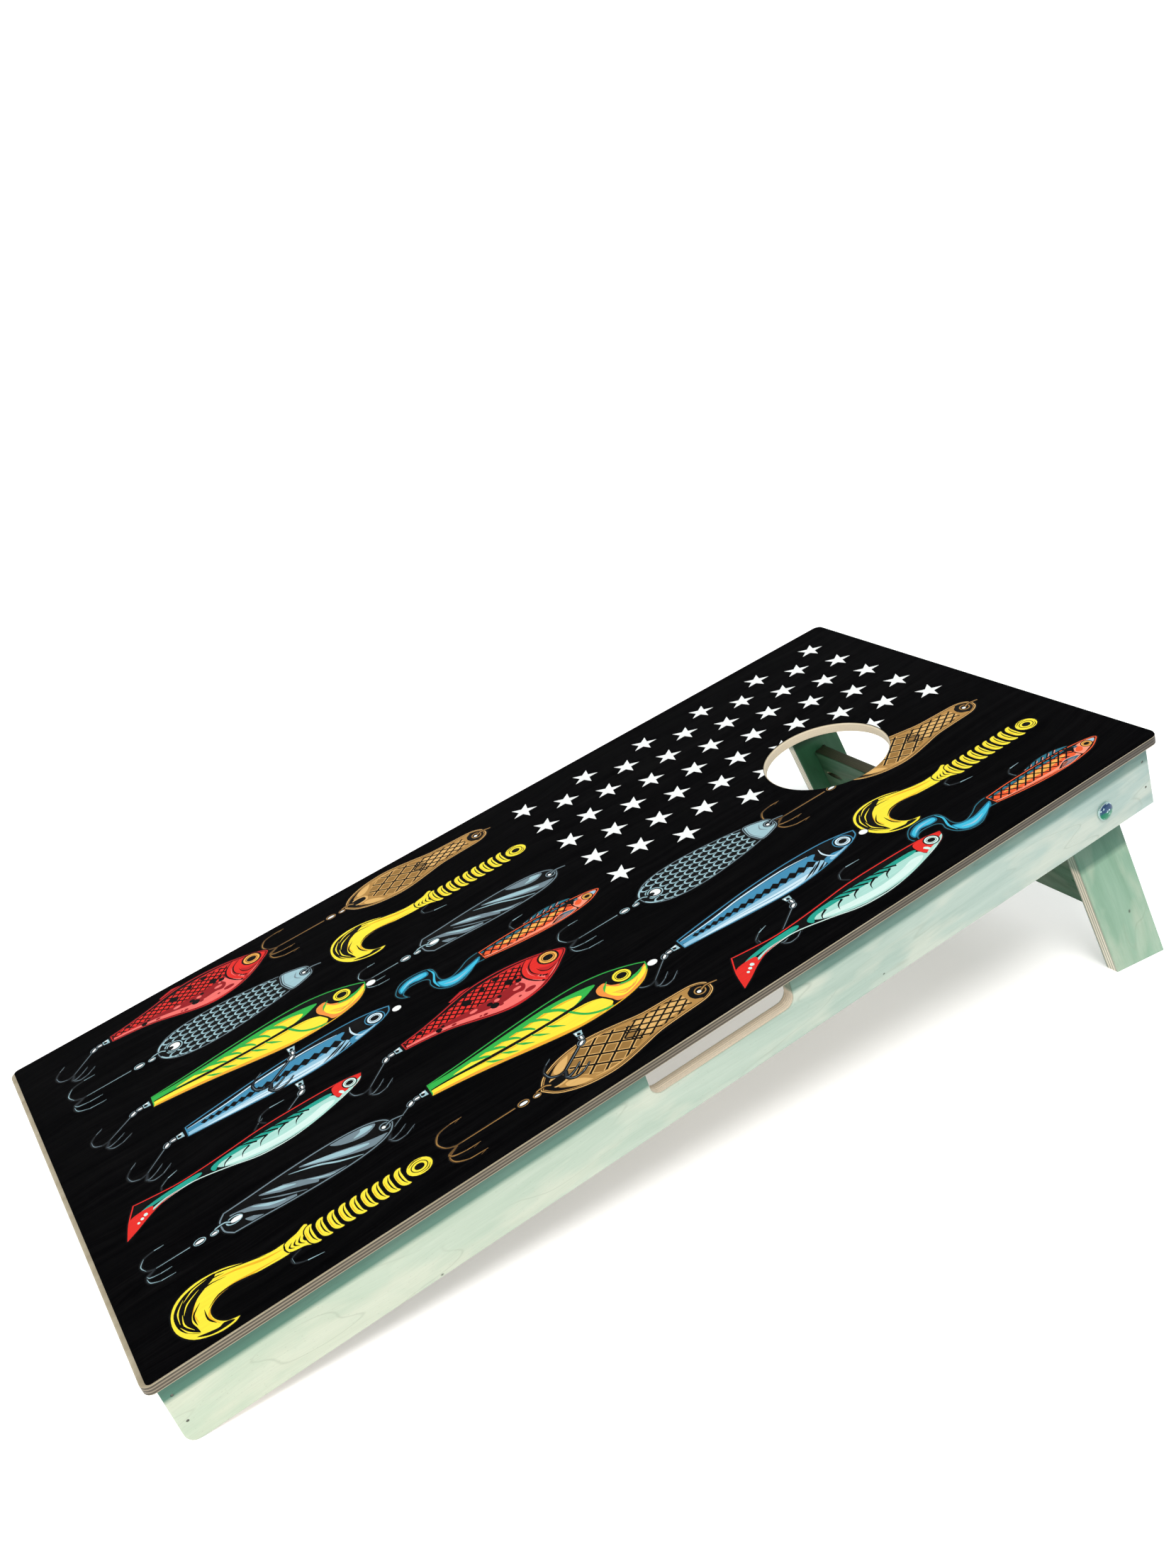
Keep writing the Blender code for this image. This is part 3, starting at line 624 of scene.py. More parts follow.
def curly_grub():
    """Ringed body and a curled tail, its origin in the middle of its head."""
    hook = [(9, 128), (14, 139), (22, 139), (28, 128), (31, 112)]
    tail = smooth([
        (-10, 134), (-11, 152), (-18, 174), (-29, 196), (-32, 222), (-24, 243), (-7, 254), (16, 255),
        (36, 244), (46, 224), (46, 208), (42, 201), (42, 201), (38, 213), (27, 221), (13, 221), (3, 210),
        (0, 192), (4, 166), (5, 134)])
    collar = smooth([(-18, 112), (-14, 124), (-9, 138), (4, 138), (8, 124), (11, 114)])
    art = single_hook(hook) + edged("yellow", tail, SURROUND)
    art += lines(
        "amber", tail, ([(-5, 142), (-8, 162), (-16, 184), (-21, 206)], 0.5, 3.2, 2.8, 0.4),
        ([(3, 146), (1, 172), (-1, 196), (6, 213), (20, 224), (37, 218)], 0.4, 2.4, 3.4, 3.4, 2.4, 0.4),
        ([(-12, 226), (2, 235), (20, 234)], 0.4, 2.8, 0.4))
    shade = smooth([
        (-29.4, 204), (-29, 222), (-23, 239), (-9, 250.6), (8, 252.6), (22, 248), (33, 237), (25, 237),
        (14, 239), (2, 235), (-10, 227), (-18, 216), (-24, 206)])
    tip = smooth([(42.6, 206), (44.4, 217), (42.4, 230), (35, 241), (38, 230), (40, 221), (38, 215)])
    art += paint("black", shade, tip, mask=tail)
    cuts = (
        ((-11, 156), (-19, 178), (-27, 199), (-30, 216)), ((-16, 196), (-19, 212), (-15, 226), (-6, 236)),
        ((3, 172), (-0.6, 192), (1, 209), (10, 221.6)), ((-22, 196), (-24.6, 210), (-21, 226)),
        ((8, 225.4), (22, 226), (33, 221)), ((-4, 226), (8, 236), (22, 236)))
    art += lines("black", tail, *[(cut, 0.2, 1.7, 2.0, 0.2) for cut in cuts])
    shines = (
        ((-28, 212), (-25, 227), (-16, 239)), ((-21, 222), (-12, 236), (0, 243)),
        ((-20, 238), (-7, 247), (8, 249)), ((-2, 244), (12, 246), (25, 240)),
        ((12, 250), (24, 245), (34, 235)))
    art += lines("yellow", tail, *[(shine, 0.2, 1.7, 0.2) for shine in shines])
    art += edged("yellow", collar, 1.4)
    art += lines(
        "black", None,
        *[([(-9 + step, 117 + 5 * step), (-1, 121 + 5 * step), (6 - step, 117 + 5 * step)], 0.2, 2.2, 0.2)
        for step in range(4)], ([(-7, 139), (-2, 140.5), (3, 139)], 1, 2, 1))
    for ring in range(9):
        y = 12.3 + 12 * ring
        band = smooth([
            (-14, y), (-8, y + 2.2), (8, y + 2.2), (14, y), (13.4, y + 6), (7, y + 10), (-7, y + 10),
            (-13.4, y + 6)])
        art += edged("yellow", band, 1.4)
        art += lines("black", None, (
            [(-11.6, y + 2.8), (-5, y + 5.2), (5, y + 5.2), (11.6, y + 2.8)], 0.3, 1.5, 1.5, 0.3))
        art += lines("amber", None, ([(-9, y + 8.2), (0, y + 9.2), (9, y + 8.2)], 0.2, 1.2, 0.2))
    art += discs(0, -2.6, ("black", 13.6, 1.12), ("yellow", 12, 1.12))
    art += lines(
        "black", None, ([(-9.4, -8.6), (-10.4, -0.6), (-6, 7)], 0.3, 1.5, 0.3),
        ([(3, -13.2), (9, -8.2), (9.8, 0.4)], 0.3, 1.3, 0.3))
    return art + discs(0, -2.6, ("black", 8, 1.15), ("yellow", 7, 1.15), ("black", 4.6, 1.15))


def stripe_spoon():
    body = mirrored([
        (0, 13), (11, 19), (19, 34), (23.4, 59), (24.4, 90), (22.7, 130), (19.6, 165), (17.9, 191),
        (17.9, 191), (9, 198), (0, 199)])
    inside = grown(body, -3)
    art = rimmed(body, "steel", thick=1.6)
    art += shapes("steel", inside, [
        (-11, 28), (-4.6, 40), (-6.4, 54), (-14, 69), (-23, 74), (-24, 52), (-18, 34)])
    art += shapes("steel_light", inside, [
        (-11, 31), (-8.4, 40), (-9.6, 53), (-13, 45), (-17, 42), (-15, 35)])
    swirls = (
        ("steel", ((15, 24), (10, 48), (-2, 76), (-17, 110)), (9, 12, 10, 1.2)),
        ("steel_light", ((10, 44), (3, 63), (-7, 86), (-16, 106)), (2, 7.5, 6, 0.5)),
        ("steel_light", ((20, 54), (9, 76), (-4, 95), (-16, 122)), (0.5, 2.4, 2.4, 0.4)),
        ("steel", ((24, 72), (18, 93), (6, 112), (-7, 132)), (5, 5.5, 3, 0.4)),
        ("steel_light", ((22, 84), (14, 100), (4, 114)), (0.4, 2.2, 0.4)),
        ("steel", ((18, 102), (6, 117), (-3, 135), (-12, 155)), (3, 9, 9, 1)),
        ("steel_light", ((3, 121), (-4, 134), (-10, 149)), (1, 5, 0.5)),
        ("steel", ((20, 115), (8, 136), (-5, 155)), (0.5, 2, 0.4)),
        ("steel", ((20, 126), (13, 147), (0, 165), (-9, 187)), (6, 9, 8, 1.5)),
        ("steel_light", ((15, 136), (8, 151), (-3, 166)), (1, 4.4, 0.4)),
        ("steel", ((18, 160), (13, 170), (8, 176)), (2, 7, 1)))
    for ink, route, widths in swirls:
        art += paint(ink, stroke(route, *widths, steps=6), mask=inside)
    art += discs(0, 185, ("black", 7.6, 1.4), ("steel_light", 5.8, 1.5), ("black", 4.6, 1.5))
    art += paint("white", disc(0.5, 183, 3.2, 1.9))
    art += ring_eye(0, 22, 5.2, "steel")
    return art + moved(hanging_hook(75, "steel_light", "wire", 0.76), 0, 199)


def curl_minnow():
    """Slim minnow with a curled soft tail, its origin at its nose."""
    body = smooth([
        (0, -1), (7, 6), (14, 20), (18, 42), (19, 66), (17, 96), (12, 128), (6, 155), (6, 155), (-12, 155),
        (-12, 155), (-14, 120), (-13, 80), (-11, 40), (-6, 12)])
    inside = grown(body, -1.6)
    hook = [(-11, 98), (-16, 105), (-26, 106), (-33, 98), (-34, 84)]
    tail = smooth([
        (-12, 152), (-11, 170), (-3, 184), (2, 197), (-1, 206), (-10, 208), (-22, 206), (-34, 208),
        (-40, 224), (-38, 244), (-24, 257), (-12, 256), (-4, 247), (-4, 247), (-15, 250), (-22, 240),
        (-20, 224), (-14, 218), (-4, 221), (10, 218), (20, 207), (21, 192), (14, 178), (6, 166), (6, 152)])
    art = single_hook(hook)
    fin = smooth([(-11, 34), (-18, 44), (-21, 62), (-19, 80), (-13, 96)])
    art += edged("lake", fin, 1.6)
    art += lines(
        "black", fin, *[([(-11, 56 + 9 * ray), (-20, 44 + 9 * ray)], 0.4, 2.2) for ray in range(6)])
    art += lines(
        "peach", fin, *[([(-11, 53 + 9 * ray), (-18, 44 + 9 * ray)], 0.3, 1.1) for ray in range(6)])
    art += edged("lake", tail, 1.6) + paint("black", grown(tail, -1.2))
    upper = smooth([
        (-4, 158), (4, 162), (13, 177), (19.4, 196), (15.6, 210), (5, 215), (-3, 213), (2, 203), (4, 189),
        (0, 173)])
    lower = smooth([
        (-33, 213), (-25, 214), (-23.4, 224), (-26, 237), (-18, 251), (-28, 251), (-36, 238), (-36.6, 223)])
    art += paint("cyan_dark", upper, lower, mask=tail)
    art += paint(
        "cyan", grown(upper, -2), grown(lower, -2),
        stroke([(-34, 210.5), (-22, 208.6), (-6, 215), (8, 215)], 0.5, 2.2, 2.6, 0.6), mask=tail)
    art += lines(
        "blue_light", tail, ([(8, 178), (13, 196), (8, 209)], 0.4, 3, 0.6),
        ([(-31, 218), (-31, 234), (-25, 246)], 0.5, 2.4, 0.4))
    art += rimmed(body, "orange", thick=1.3)
    art += shapes("peach", inside, [
        (2, 34), (15, 40), (17, 66), (14, 98), (9, 128), (4, 152), (-2, 152), (5, 110), (7, 70)])
    art += shapes("orange", inside, [
        (-3, 40), (8, 38), (11, 70), (8, 110), (2, 154), (-6, 150), (-6, 110), (-6, 70)])
    art += lines("ochre", inside, ([(-1, 46), (0, 80), (-2, 112), (-3, 136)], 3, 9, 8, 1))
    art += lines("lake", inside, ([(-8, 40), (-8, 80), (-9, 120), (-8, 154)], 1, 4, 4, 2))
    flank = smooth([(-11, 34), (2, 36), (9, 60), (9, 100), (3, 148), (-9, 150), (-12, 100)])
    art += lattice(flank, -2, 14, 20, 150, 12.4, 1.05, 1.9)
    art += lines("orange", inside, ([(13, 44), (15.6, 70), (12, 104), (6, 136)], 0.4, 1.6, 1.6, 0.4))
    head = smooth([(0, 3), (6, 9), (12, 24), (14, 34), (5, 35), (-3, 30), (-5, 18)])
    art += paint("peach", head, mask=inside)
    art += shapes("blue_light", inside, [(0, 4), (5, 7), (3, 11), (-3, 18)])
    art += shapes("orange", None, [(-2, 26), (4, 24), (9, 30), (4, 34)])
    art += lines("lake", inside, ([(-6, 30), (-3, 26), (-2, 31)], 0.4, 3, 1))
    art += lines("black", inside, ([(-7, 34), (4, 36.6), (15, 34)], 0.4, 1.8, 0.4))
    fin = smooth([(13, 37), (13, 37), (8, 48), (8, 58), (15, 72), (15, 72), (16.5, 54)])
    art += paint("peach", grown(fin, 1.2), mask=inside) + paint("lake", fin)
    art += shapes("black", None, [(9, 52), (9, 60), (15, 71), (14.5, 60)])
    art += lines(
        "peach", None,
        *[([(12.6 + ray, 44 + 2 * ray), (10 + 2 * ray, 60 + 3 * ray)], 0.3, 0.8) for ray in range(3)])
    return art + eye(2.6, 16, 5.8, "ochre")


def scale_spoon():
    body = mirrored([
        (0, 3), (7, 5), (14, 18), (20, 36), (26, 62), (32, 100), (34, 130), (32, 158), (25, 180), (12, 194),
        (0, 197)])
    inside = grown(body, -1.2)
    art = edged("steel", body, 1.8) + paint("black", grown(body, -1.1))
    for row in range(14):
        y = 46 + 10.4 * row
        for column in range(-4, 5):
            x = (column + (0.5 if row % 2 else 0)) * 10.4
            cup = [
                (x - 4.5, y - 2.8), (x - 3.7, y + 2.6), (x, y + 5.6), (x + 3.7, y + 2.6),
                (x + 4.5, y - 2.8)]
            art += paint("steel_light", stroke(cup, 0.6, 1.7, 2.7, 1.7, 0.6, steps=2), mask=inside)
    plate = mirrored([(0, 5), (9, 7), (15, 17), (20, 35), (10, 40), (0, 42)])
    art += paint("black", grown(plate, 2.6)) + paint("steel", grown(plate, 0.9))
    art += paint("black", grown(plate, -0.4))
    art += paint("steel_light", grown(plate, -1.6))
    art += lines("steel", None, ([(-9, 20), (0, 25), (9, 20)], 0.4, 2, 0.4))
    art += lines("steel", None, ([(-18, 33), (0, 38.6), (18, 33)], 0.6, 1.4, 0.6))
    art += lines(
        "steel_light", None,
        *[([(side * 23, 178), (side * 15, 190), (side * 6, 195)], 0.4, 2.4, 1.4) for side in (-1, 1)])
    art += discs(0, 177, ("black", 11), ("steel_light", 9.6), ("black", 8.2), ("white", 6.4))
    art += paint("black", disc(0, 183, 3.2, 1.5))
    return art + ring_eye(0, 12, 5.0, "steel") + moved(hanging_hook(98, "steel_light", "wire"), 0, 198)


def diamond_minnow():
    """Slim hard minnow with a chain of diamonds, its origin at its nose."""
    body = smooth([
        (-1, 0), (-1, 0), (9, 4), (17, 17), (23.5, 37), (30, 66), (34, 96), (34, 124), (29.5, 170),
        (23.5, 215), (19.6, 247), (19.6, 247), (1.5, 246), (1.5, 246), (-3.2, 215), (-7.4, 183),
        (-12.3, 141), (-14.5, 102), (-14.5, 72), (-12.3, 40), (-7.4, 17)])
    inside = grown(body, -1.5)
    art = moved(jointed_hook(42, -42), 11, 250) + moved(jointed_hook(57, 49), 38, 126, -86)
    art += rimmed(body, "blue", thick=1.5)
    art += shapes("blue", inside, [
        (-2, 58), (8, 64), (20, 62), (26, 80), (26, 120), (20, 180), (12, 245), (7, 245), (3, 199),
        (-2.5, 157), (-5, 110)])
    art += shapes("blue_light", inside, [
        (14, 62), (24, 58), (30, 76), (33, 100), (32, 130), (27, 175), (19, 245), (13, 245), (16, 190),
        (17, 130), (17, 90)])
    art += paint(
        "blue_pale", smooth([(25, 76), (31, 96), (32, 128), (27, 172), (20, 230), (20, 180), (23, 130)]),
        stroke([(-3.5, 64), (-7, 100), (-4.2, 157), (2.3, 199), (6, 244)], 0.4, 2, 2.2, 1.8, 0.6),
        mask=inside)
    art += lines("blue", inside, ([(28, 96), (27, 130), (21, 186)], 0.3, 1.3, 0.3))
    y = 71
    for link in range(16):
        tall = 7.4 - 0.2 * link
        wide = 6.8 - 0.22 * link
        x = 11.6 - 0.1 * link
        art += paint(
            "black",
            [(x - wide, y - 0.2 * tall), (x + 1, y - tall), (x + wide, y + 0.2 * tall), (x - 1, y + tall)],
            mask=inside)
        y += 1.72 * tall
    art += shapes("blue", inside, [
        (12, 7), (18, 18), (24, 38), (28, 56), (18, 57), (15, 44), (18, 32), (15, 18)])
    art += shapes("blue_light", inside, [
        (14, 9), (18, 18), (23, 36), (25, 50), (20, 50), (19, 36), (16, 22)])
    art += lines(
        "blue_pale", inside, ([(-4, 48), (6, 50.5), (16, 48), (24, 41)], 0.3, 2.2, 2.2, 0.4),
        ([(17, 15), (22, 30), (25, 46)], 0.3, 1.6, 0.3))
    gills = (
        ((13, 58), (21, 69), (30, 84)), ((19, 56), (26, 67), (32, 79)), ((17, 67), (24, 79), (31, 94)))
    art += lines("black", inside, *[(gill, 0.3, 2.8, 0.3) for gill in gills])
    art += discs(6.2, 21, ("blue", 12), ("black", 10.8)) + eye(6.2, 21, 8.8, "blue_pale")
    return art + discs(12, -4, ("black", 6), ("white", 4.6, 1.15))


def paddle_shad():
    """Soft jerkbait with a paddle tail, its origin at its nose."""
    body = smooth([
        (0, 0), (0, 0), (10, 5), (17, 16), (27, 43), (36, 76), (40, 108), (37, 141), (26, 171), (15.5, 204),
        (13.5, 224), (17, 250), (26, 268), (37, 284), (46, 299), (46, 299), (19, 291), (-6.6, 279),
        (-6.6, 279), (-3, 257), (0.7, 224), (-2.6, 175), (-8.3, 125), (-8.6, 76), (-6, 26)])
    inside = grown(body, -1.6)
    hook = [(-11, 116), (-20, 122), (-29, 117), (-34, 104), (-33, 86)]
    low_hook = [(-1, 246), (-10, 244), (-18, 234), (-22, 222)]
    art = single_hook(hook) + single_hook(low_hook)
    art += edged("red", body, SURROUND)
    art += lines("mint_light", body, (
        [(17, 17), (27, 43), (36, 76), (40, 108), (37, 141), (26, 171), (15.5, 204), (13.5, 224),
        (17, 250)], 0.4, 3.2, 3.2, 3.2, 3.2, 3.2, 3.2, 0.4))
    art += paint("black", grown(body, -1.5))
    art += shapes("mint", body, [
        (9, 43), (18, 38), (26, 37), (35, 69), (38.6, 105), (35, 138), (25, 168), (14, 184), (9, 178),
        (8.5, 148), (10.5, 99), (8.5, 72)])
    art += shapes("mint_light", inside, [
        (19, 42), (25, 48), (32, 72), (35, 105), (31, 138), (19, 175), (15, 172), (21, 140), (25, 104),
        (21, 72), (16, 55)])
    art += shapes("teal", inside, [
        (3, 46), (9, 43), (8.5, 72), (10.5, 99), (8.5, 148), (9, 178), (17, 188), (9, 191), (3, 178),
        (1, 148), (2, 92)])
    art += lines(
        "black", inside,
        *[([(10, 70 + 13 * cut), (5, 79 + 13 * cut), (0, 89 + 13 * cut)], 2.8, 2.6, 0.3)
        for cut in range(6)],
        *[([(9, 78 + 22 * bar), (14, 87 + 22 * bar), (22, 91 + 22 * bar)], 3, 1.8, 0.2)
        for bar in range(5)])
    art += lines("black", None, ([(36, 84), (38, 108), (35, 130)], 0.3, 1.5, 0.3))
    art += shapes("teal", inside, [
        (7, 201), (11, 206), (12, 222), (11, 244), (14, 277), (9, 268), (5.6, 250), (4, 228), (4, 208)])
    art += lines("mint", inside, ([(12.6, 220), (13.5, 245), (19.5, 266)], 0.6, 3.8, 3))
    art += shapes("red", body, [
        (12, 262), (22, 264), (30, 275), (38, 287), (45, 298), (30, 293), (18, 290), (12, 282)])
    art += paint(
        "mint_light", *[disc(20 + 3.6 * dot, 271 + 5 * dot, 2.6 - 0.4 * dot, 0.9) for dot in range(3)])
    art += shapes("red", inside, [
        (-1, 4), (8, 4), (15, 14), (20, 30), (18, 37), (8, 39), (-3, 36), (-5, 24)])
    art += shapes("mint", body, [(6, 2), (13, 9), (18, 20), (23, 38), (18, 32), (13, 17), (8, 8)])
    art += lines("mint_light", inside, ([(10, 32), (13, 30), (17, 29)], 3, 4.6, 3))
    return art + eye(5.6, 17, 7.8, "mint_light")


def speckled_crank():
    """Deep crankbait with lattice flanks, its origin at its nose."""
    body = smooth([
        (0, 0), (7, 3), (14.5, 11), (27, 25), (40, 46), (46, 68), (47, 88), (42, 107), (32, 130), (22, 152),
        (15.6, 175), (11, 205), (11, 205), (-2, 205), (-2, 205), (-7, 180), (-13.6, 155), (-21, 132),
        (-27, 108), (-28, 84), (-25, 58), (-18, 32), (-8, 10)])
    inside = grown(body, -2.6)
    fin = [(-27, 96), (-31, 118), (-24, 136), (-18, 132)]
    art = moved(jointed_hook(45, -42), 5, 208)
    art += edged("crimson", fin, 1.4)
    art += rimmed(body, "crimson", thick=1.5) + paint("crimson", inside)
    art += shapes(
        "wine", inside, [(4, 58), (20, 56), (31, 66), (32, 92), (24, 124), (13, 165), (4, 165), (8, 110)],
        [(-14, 6), (-6, 12), (-16, 36), (-20, 40)])
    art += shapes("salmon", inside, [
        (20, 40), (34, 44), (42, 64), (43, 88), (38, 108), (28, 130), (18, 156), (12, 185), (9, 203),
        (5, 203), (9, 175), (16, 142), (25, 114), (29, 94), (27, 78), (29, 68), (20, 62), (10, 66),
        (10, 58), (20, 54)])
    art += lines("crimson", body, ([(41, 52), (45, 74), (44, 100), (34, 124)], 0.4, 1.8, 1.8, 0.4))
    flank = smooth([
        (-13, 48), (2, 56), (9, 72), (12, 100), (9, 130), (6, 165), (6, 203), (0, 203), (-6, 172),
        (-14, 140), (-20, 112), (-21, 84), (-18, 60)])
    art += paint("red", flank, mask=inside) + lattice(flank, -2, 26, 30, 204, 10.2, 1.1, 2.0)
    art += lines("black", inside, (
        [(-18, 36), (-24, 60), (-25, 90), (-21, 116), (-12, 150), (-5, 184)], 4, 6, 6, 5, 4, 1))
    spots = (
        (8.5, 64, 3.4), (1.7, 73, 4.8), (1, 64, 2.2), (16, 92, 2.4), (26, 103, 4.8), (19.4, 106, 3.2),
        (-5, 122, 5.4), (12, 165, 3.4), (-16, 80, 4), (9, 159, 2), (21, 38, 1.8), (24, 40, 1.7),
        (26, 37.5, 1.5), (22, 43, 1.4), (32, 45, 1.7), (-12, 100, 3.4), (-2, 182, 3))
    art += paint("black", *[disc(x, y, radius, 1.1, 12) for x, y, radius in spots], mask=inside)
    art += paint(
        "salmon", disc(20, 72, 2.6, 2.0, 12), disc(19.4, 97, 2.6, 1.3, 12), disc(15, 124, 2.6, 1.9, 12),
        disc(13, 68, 1.6, 1.2, 12), mask=inside)
    art += paint(
        "wine", disc(33, 62, 3.6, 1.9, 12), disc(30, 97, 2.2, 1.4, 12), disc(31, 117, 1.9, 1.5, 12),
        disc(35, 76, 1.5, 1.3, 12), disc(17, 149, 2, 1.5, 12), disc(29, 122, 1.4, 1.2, 12), mask=inside)
    art += shapes("red", inside, [
        (-2, 4), (8, 8), (18, 22), (26, 34), (18, 44), (4, 46), (-8, 42), (-13, 30), (-8, 12)])
    art += shapes("crimson", inside, [(12, 12), (20, 26), (18, 36), (8, 38), (14, 30), (14, 20)])
    art += lines("red", inside, ([(-16, 38), (-4, 50), (10, 53), (24, 47), (34, 40)], 4, 6, 6.4, 5, 1))
    art += lines(
        "black", inside, ([(-17, 42), (-4, 54), (11, 57), (26, 51), (36, 42)], 0.6, 2.2, 2.4, 2, 0.4),
        ([(-14, 33), (-4, 44), (10, 47), (22, 41)], 0.3, 1.6, 1.6, 0.3),
        ([(17, 20), (20.5, 31), (15.6, 38), (6.7, 40)], 0.4, 1.8, 1.8, 0.3))
    art += lines(
        "salmon", inside, ([(13, 11), (22, 23), (31, 37)], 0.4, 3, 0.4),
        ([(-4, 47), (8, 50), (18, 48)], 0.3, 1.2, 0.3))
    return art + paint("wine", disc(-0.4, 21, 13)) + eye(-0.4, 21, 10.4, "ochre")


def leaf_crank():
    """Long crankbait with leafy green stripes, its origin at its nose."""
    body = smooth([
        (0, 0), (0, 0), (9, 3), (18, 9), (28, 21), (35, 42), (38, 67), (38, 95), (34.6, 120), (27, 153),
        (17.7, 190), (10, 227), (4.5, 261), (4.5, 261), (-15.4, 259), (-15.4, 259), (-19, 214),
        (-23.7, 171), (-27.7, 125), (-29, 95), (-27.7, 67), (-22, 42), (-14.5, 24), (-6.8, 10)])
    inside = grown(body, -1.4)
    art = moved(jointed_hook(43, -34), -6, 263) + moved(jointed_hook(43, 44), 41, 110, -80)
    art += edged("green", body, SURROUND)
    art += lines("amber", body, (
        [(12, 4), (28, 21), (35, 42), (38, 67), (38, 95), (34.6, 120), (27, 153), (17.7, 190), (10, 227),
        (4.5, 261)], 0.4, 4, 4, 4, 4, 4, 4, 3))
    art += paint("black", grown(body, -1.5))
    art += shapes("green", inside, [
        (-12.4, 58), (-6, 66), (-1, 78), (1.6, 94), (1, 122), (0, 159), (-3, 202), (-5.4, 240), (-5.4, 261),
        (-13.6, 259), (-13.6, 233), (-16, 196), (-19.7, 153), (-22, 119), (-20, 88)])
    art += shapes("yellow", inside, [
        (-8, 77), (-2, 82), (2.4, 96), (2, 122), (0.4, 159), (-3, 200), (-7, 232), (-10, 200), (-11, 170),
        (-13, 140), (-15.4, 112), (-14, 92)])
    art += lines("amber", None, (
        [(-9, 80), (-13.4, 98), (-13, 124), (-10.4, 160), (-9, 200)], 0.5, 2.8, 2.4, 2, 0.4))
    art += shapes("yellow", inside, [
        (17.7, 62), (30, 59), (36.6, 72), (36.6, 95), (33, 120), (25.6, 153), (16.4, 190), (8.8, 227),
        (3.2, 261), (-3.4, 261), (-2.4, 233), (1.6, 202), (5, 159), (6.2, 125), (6.8, 92), (9.6, 74)])
    art += lines(
        "amber", inside,
        ([(33, 62), (36, 94), (31, 124), (21, 166), (11, 210), (3, 259)], 1.5, 3.4, 5, 5, 5, 3),
        ([(12, 70), (9, 92), (8.4, 130), (6, 170), (1, 214)], 0.4, 1.8, 1.6, 1.8, 0.4))
    art += lines("apricot", inside, (
        [(35, 70), (36.8, 95), (31, 130), (19, 178), (9, 222), (3.4, 259)], 0.5, 1.8, 2.6, 2.8, 2.6, 1.5))
    art += lines("green", inside, (
        [(-20, 120), (-7, 105), (5.4, 99), (22, 90), (31.5, 78), (36, 62)], 6, 4.8, 3.4, 3.4, 3.6, 3))
    for leaf in range(5):
        y = 17.6 * leaf
        left = [(-17 + 1.5 * leaf, 137 + y), (-8 + 0.8 * leaf, 125 + y), (1 - 0.5 * leaf, 120 + y)]
        right = [(5 - 0.5 * leaf, 128 + y), (13 - 0.9 * leaf, 121.5 + y), (22 - 1.8 * leaf, 112.5 + y)]
        art += lines("green", inside, (left, 5, 4, 1.8), (right, 0.8, 3.8, 0.3))
    art += lines("black", inside, (
        [(7, 62), (3.8, 90), (3.6, 122), (2.5, 159), (-0.8, 202), (-4.4, 240), (-4.6, 261)], 8, 4.2, 3.6,
        3.6, 3.6, 2.2, 1.4))
    head = smooth([
        (3, 2), (12, 5), (18, 10), (28, 22), (34.4, 42), (33, 54), (25, 57), (18, 60), (8, 64), (-2, 61),
        (-5.4, 50), (4, 46), (11, 36), (13, 24), (8, 12)])
    art += edged("apricot", head, 2.4, mask=inside)
    art += shapes("yellow", inside, [
        (6, 4), (14, 8), (22, 19), (30, 40), (27, 50), (15, 56), (4, 55), (2, 50), (12, 42), (16, 28),
        (13, 16)])
    art += lines(
        "apricot", None,
        *[([(17 + 3 * ray, 20 + 6 * ray), (25 + ray, 32 + 5 * ray), (18 - ray, 48 + 2 * ray)], 0.3, 1.8,
        0.3) for ray in range(3)])
    art += paint(
        "green", smooth([(5, 7), (12, 15), (15, 28), (11, 40), (9, 30), (9, 18)]),
        stroke([(-5, 46), (2, 53), (9, 57)], 0.4, 3, 0.4), mask=inside)
    art += paint("black", disc(-0.7, 29.6, 12.6)) + eye(-0.7, 29.6, 10.4, "yellow")
    return art + discs(8.5, -4, ("black", 6.4), ("white", 4.8, 1.2))


# Each lure's drawing, and where its origins lie on the deck and at what size, in the order that they overlap
LURES = (
    (gold_spoon, ((47.6, 573, 1), (370.6, 36.6, 1), (559.6, 570, 1))),
    (curly_grub, ((131, 589, 1), (467, 60.5, 0.99), (556, 925, 0.98))),
    (stripe_spoon, ((221, 563.9, 1),)),
    (curl_minnow, ((301, 566.5, 1), (555.2, 40, 1))),
    (scale_spoon, ((368.1, 355, 0.98), (133.4, 868.8, 1.01))),
    (diamond_minnow, ((466, 320, 1), (290.4, 837, 1))),
    (speckled_crank, ((369.2, 652, 1), (41.8, 897.7, 1))),
    (paddle_shad, ((549, 268, 1), (372.8, 907.5, 0.91))),
    (leaf_crank, ((468.7, 607.4, 1), (220.6, 837.8, 1))),
    (stripe_spoon, ((474.3, 901.6, 1),)),
)
STAR_RADIUS = 18.2
STAR_ROWS = 11
STAR_COLUMNS = 5
STAR_LEFT = 53.5
STAR_TOP = 57
STAR_PITCH = 61
STAR_ROW_PITCH = 47.5

# How far the print's edge reaches outwards and down as it follows the deck's eased edge, how far back
# the front corners of the print start, all in mm, and the share of the way down that it goes there
EDGE_WRAP = ((0, 0), (0.12, 0.25), (0.25, 0.7), (0.45, 1.0), (0.65, 1.35))
FRONT_CORNER = 17
FRONT_DROP = 0.4
# Distances below which points count as one, in metres and, for the artwork, in millimetres
WELD = 1e-6
SAME_POINT = 1e-4
# How nearly a face points along the board's normal where it counts as an upper one
UPWARDS = 0.9
MM_PER_M = 1000


# From outlines to meshes: the deck's print is cut along every outline, and each bit takes the ink on top

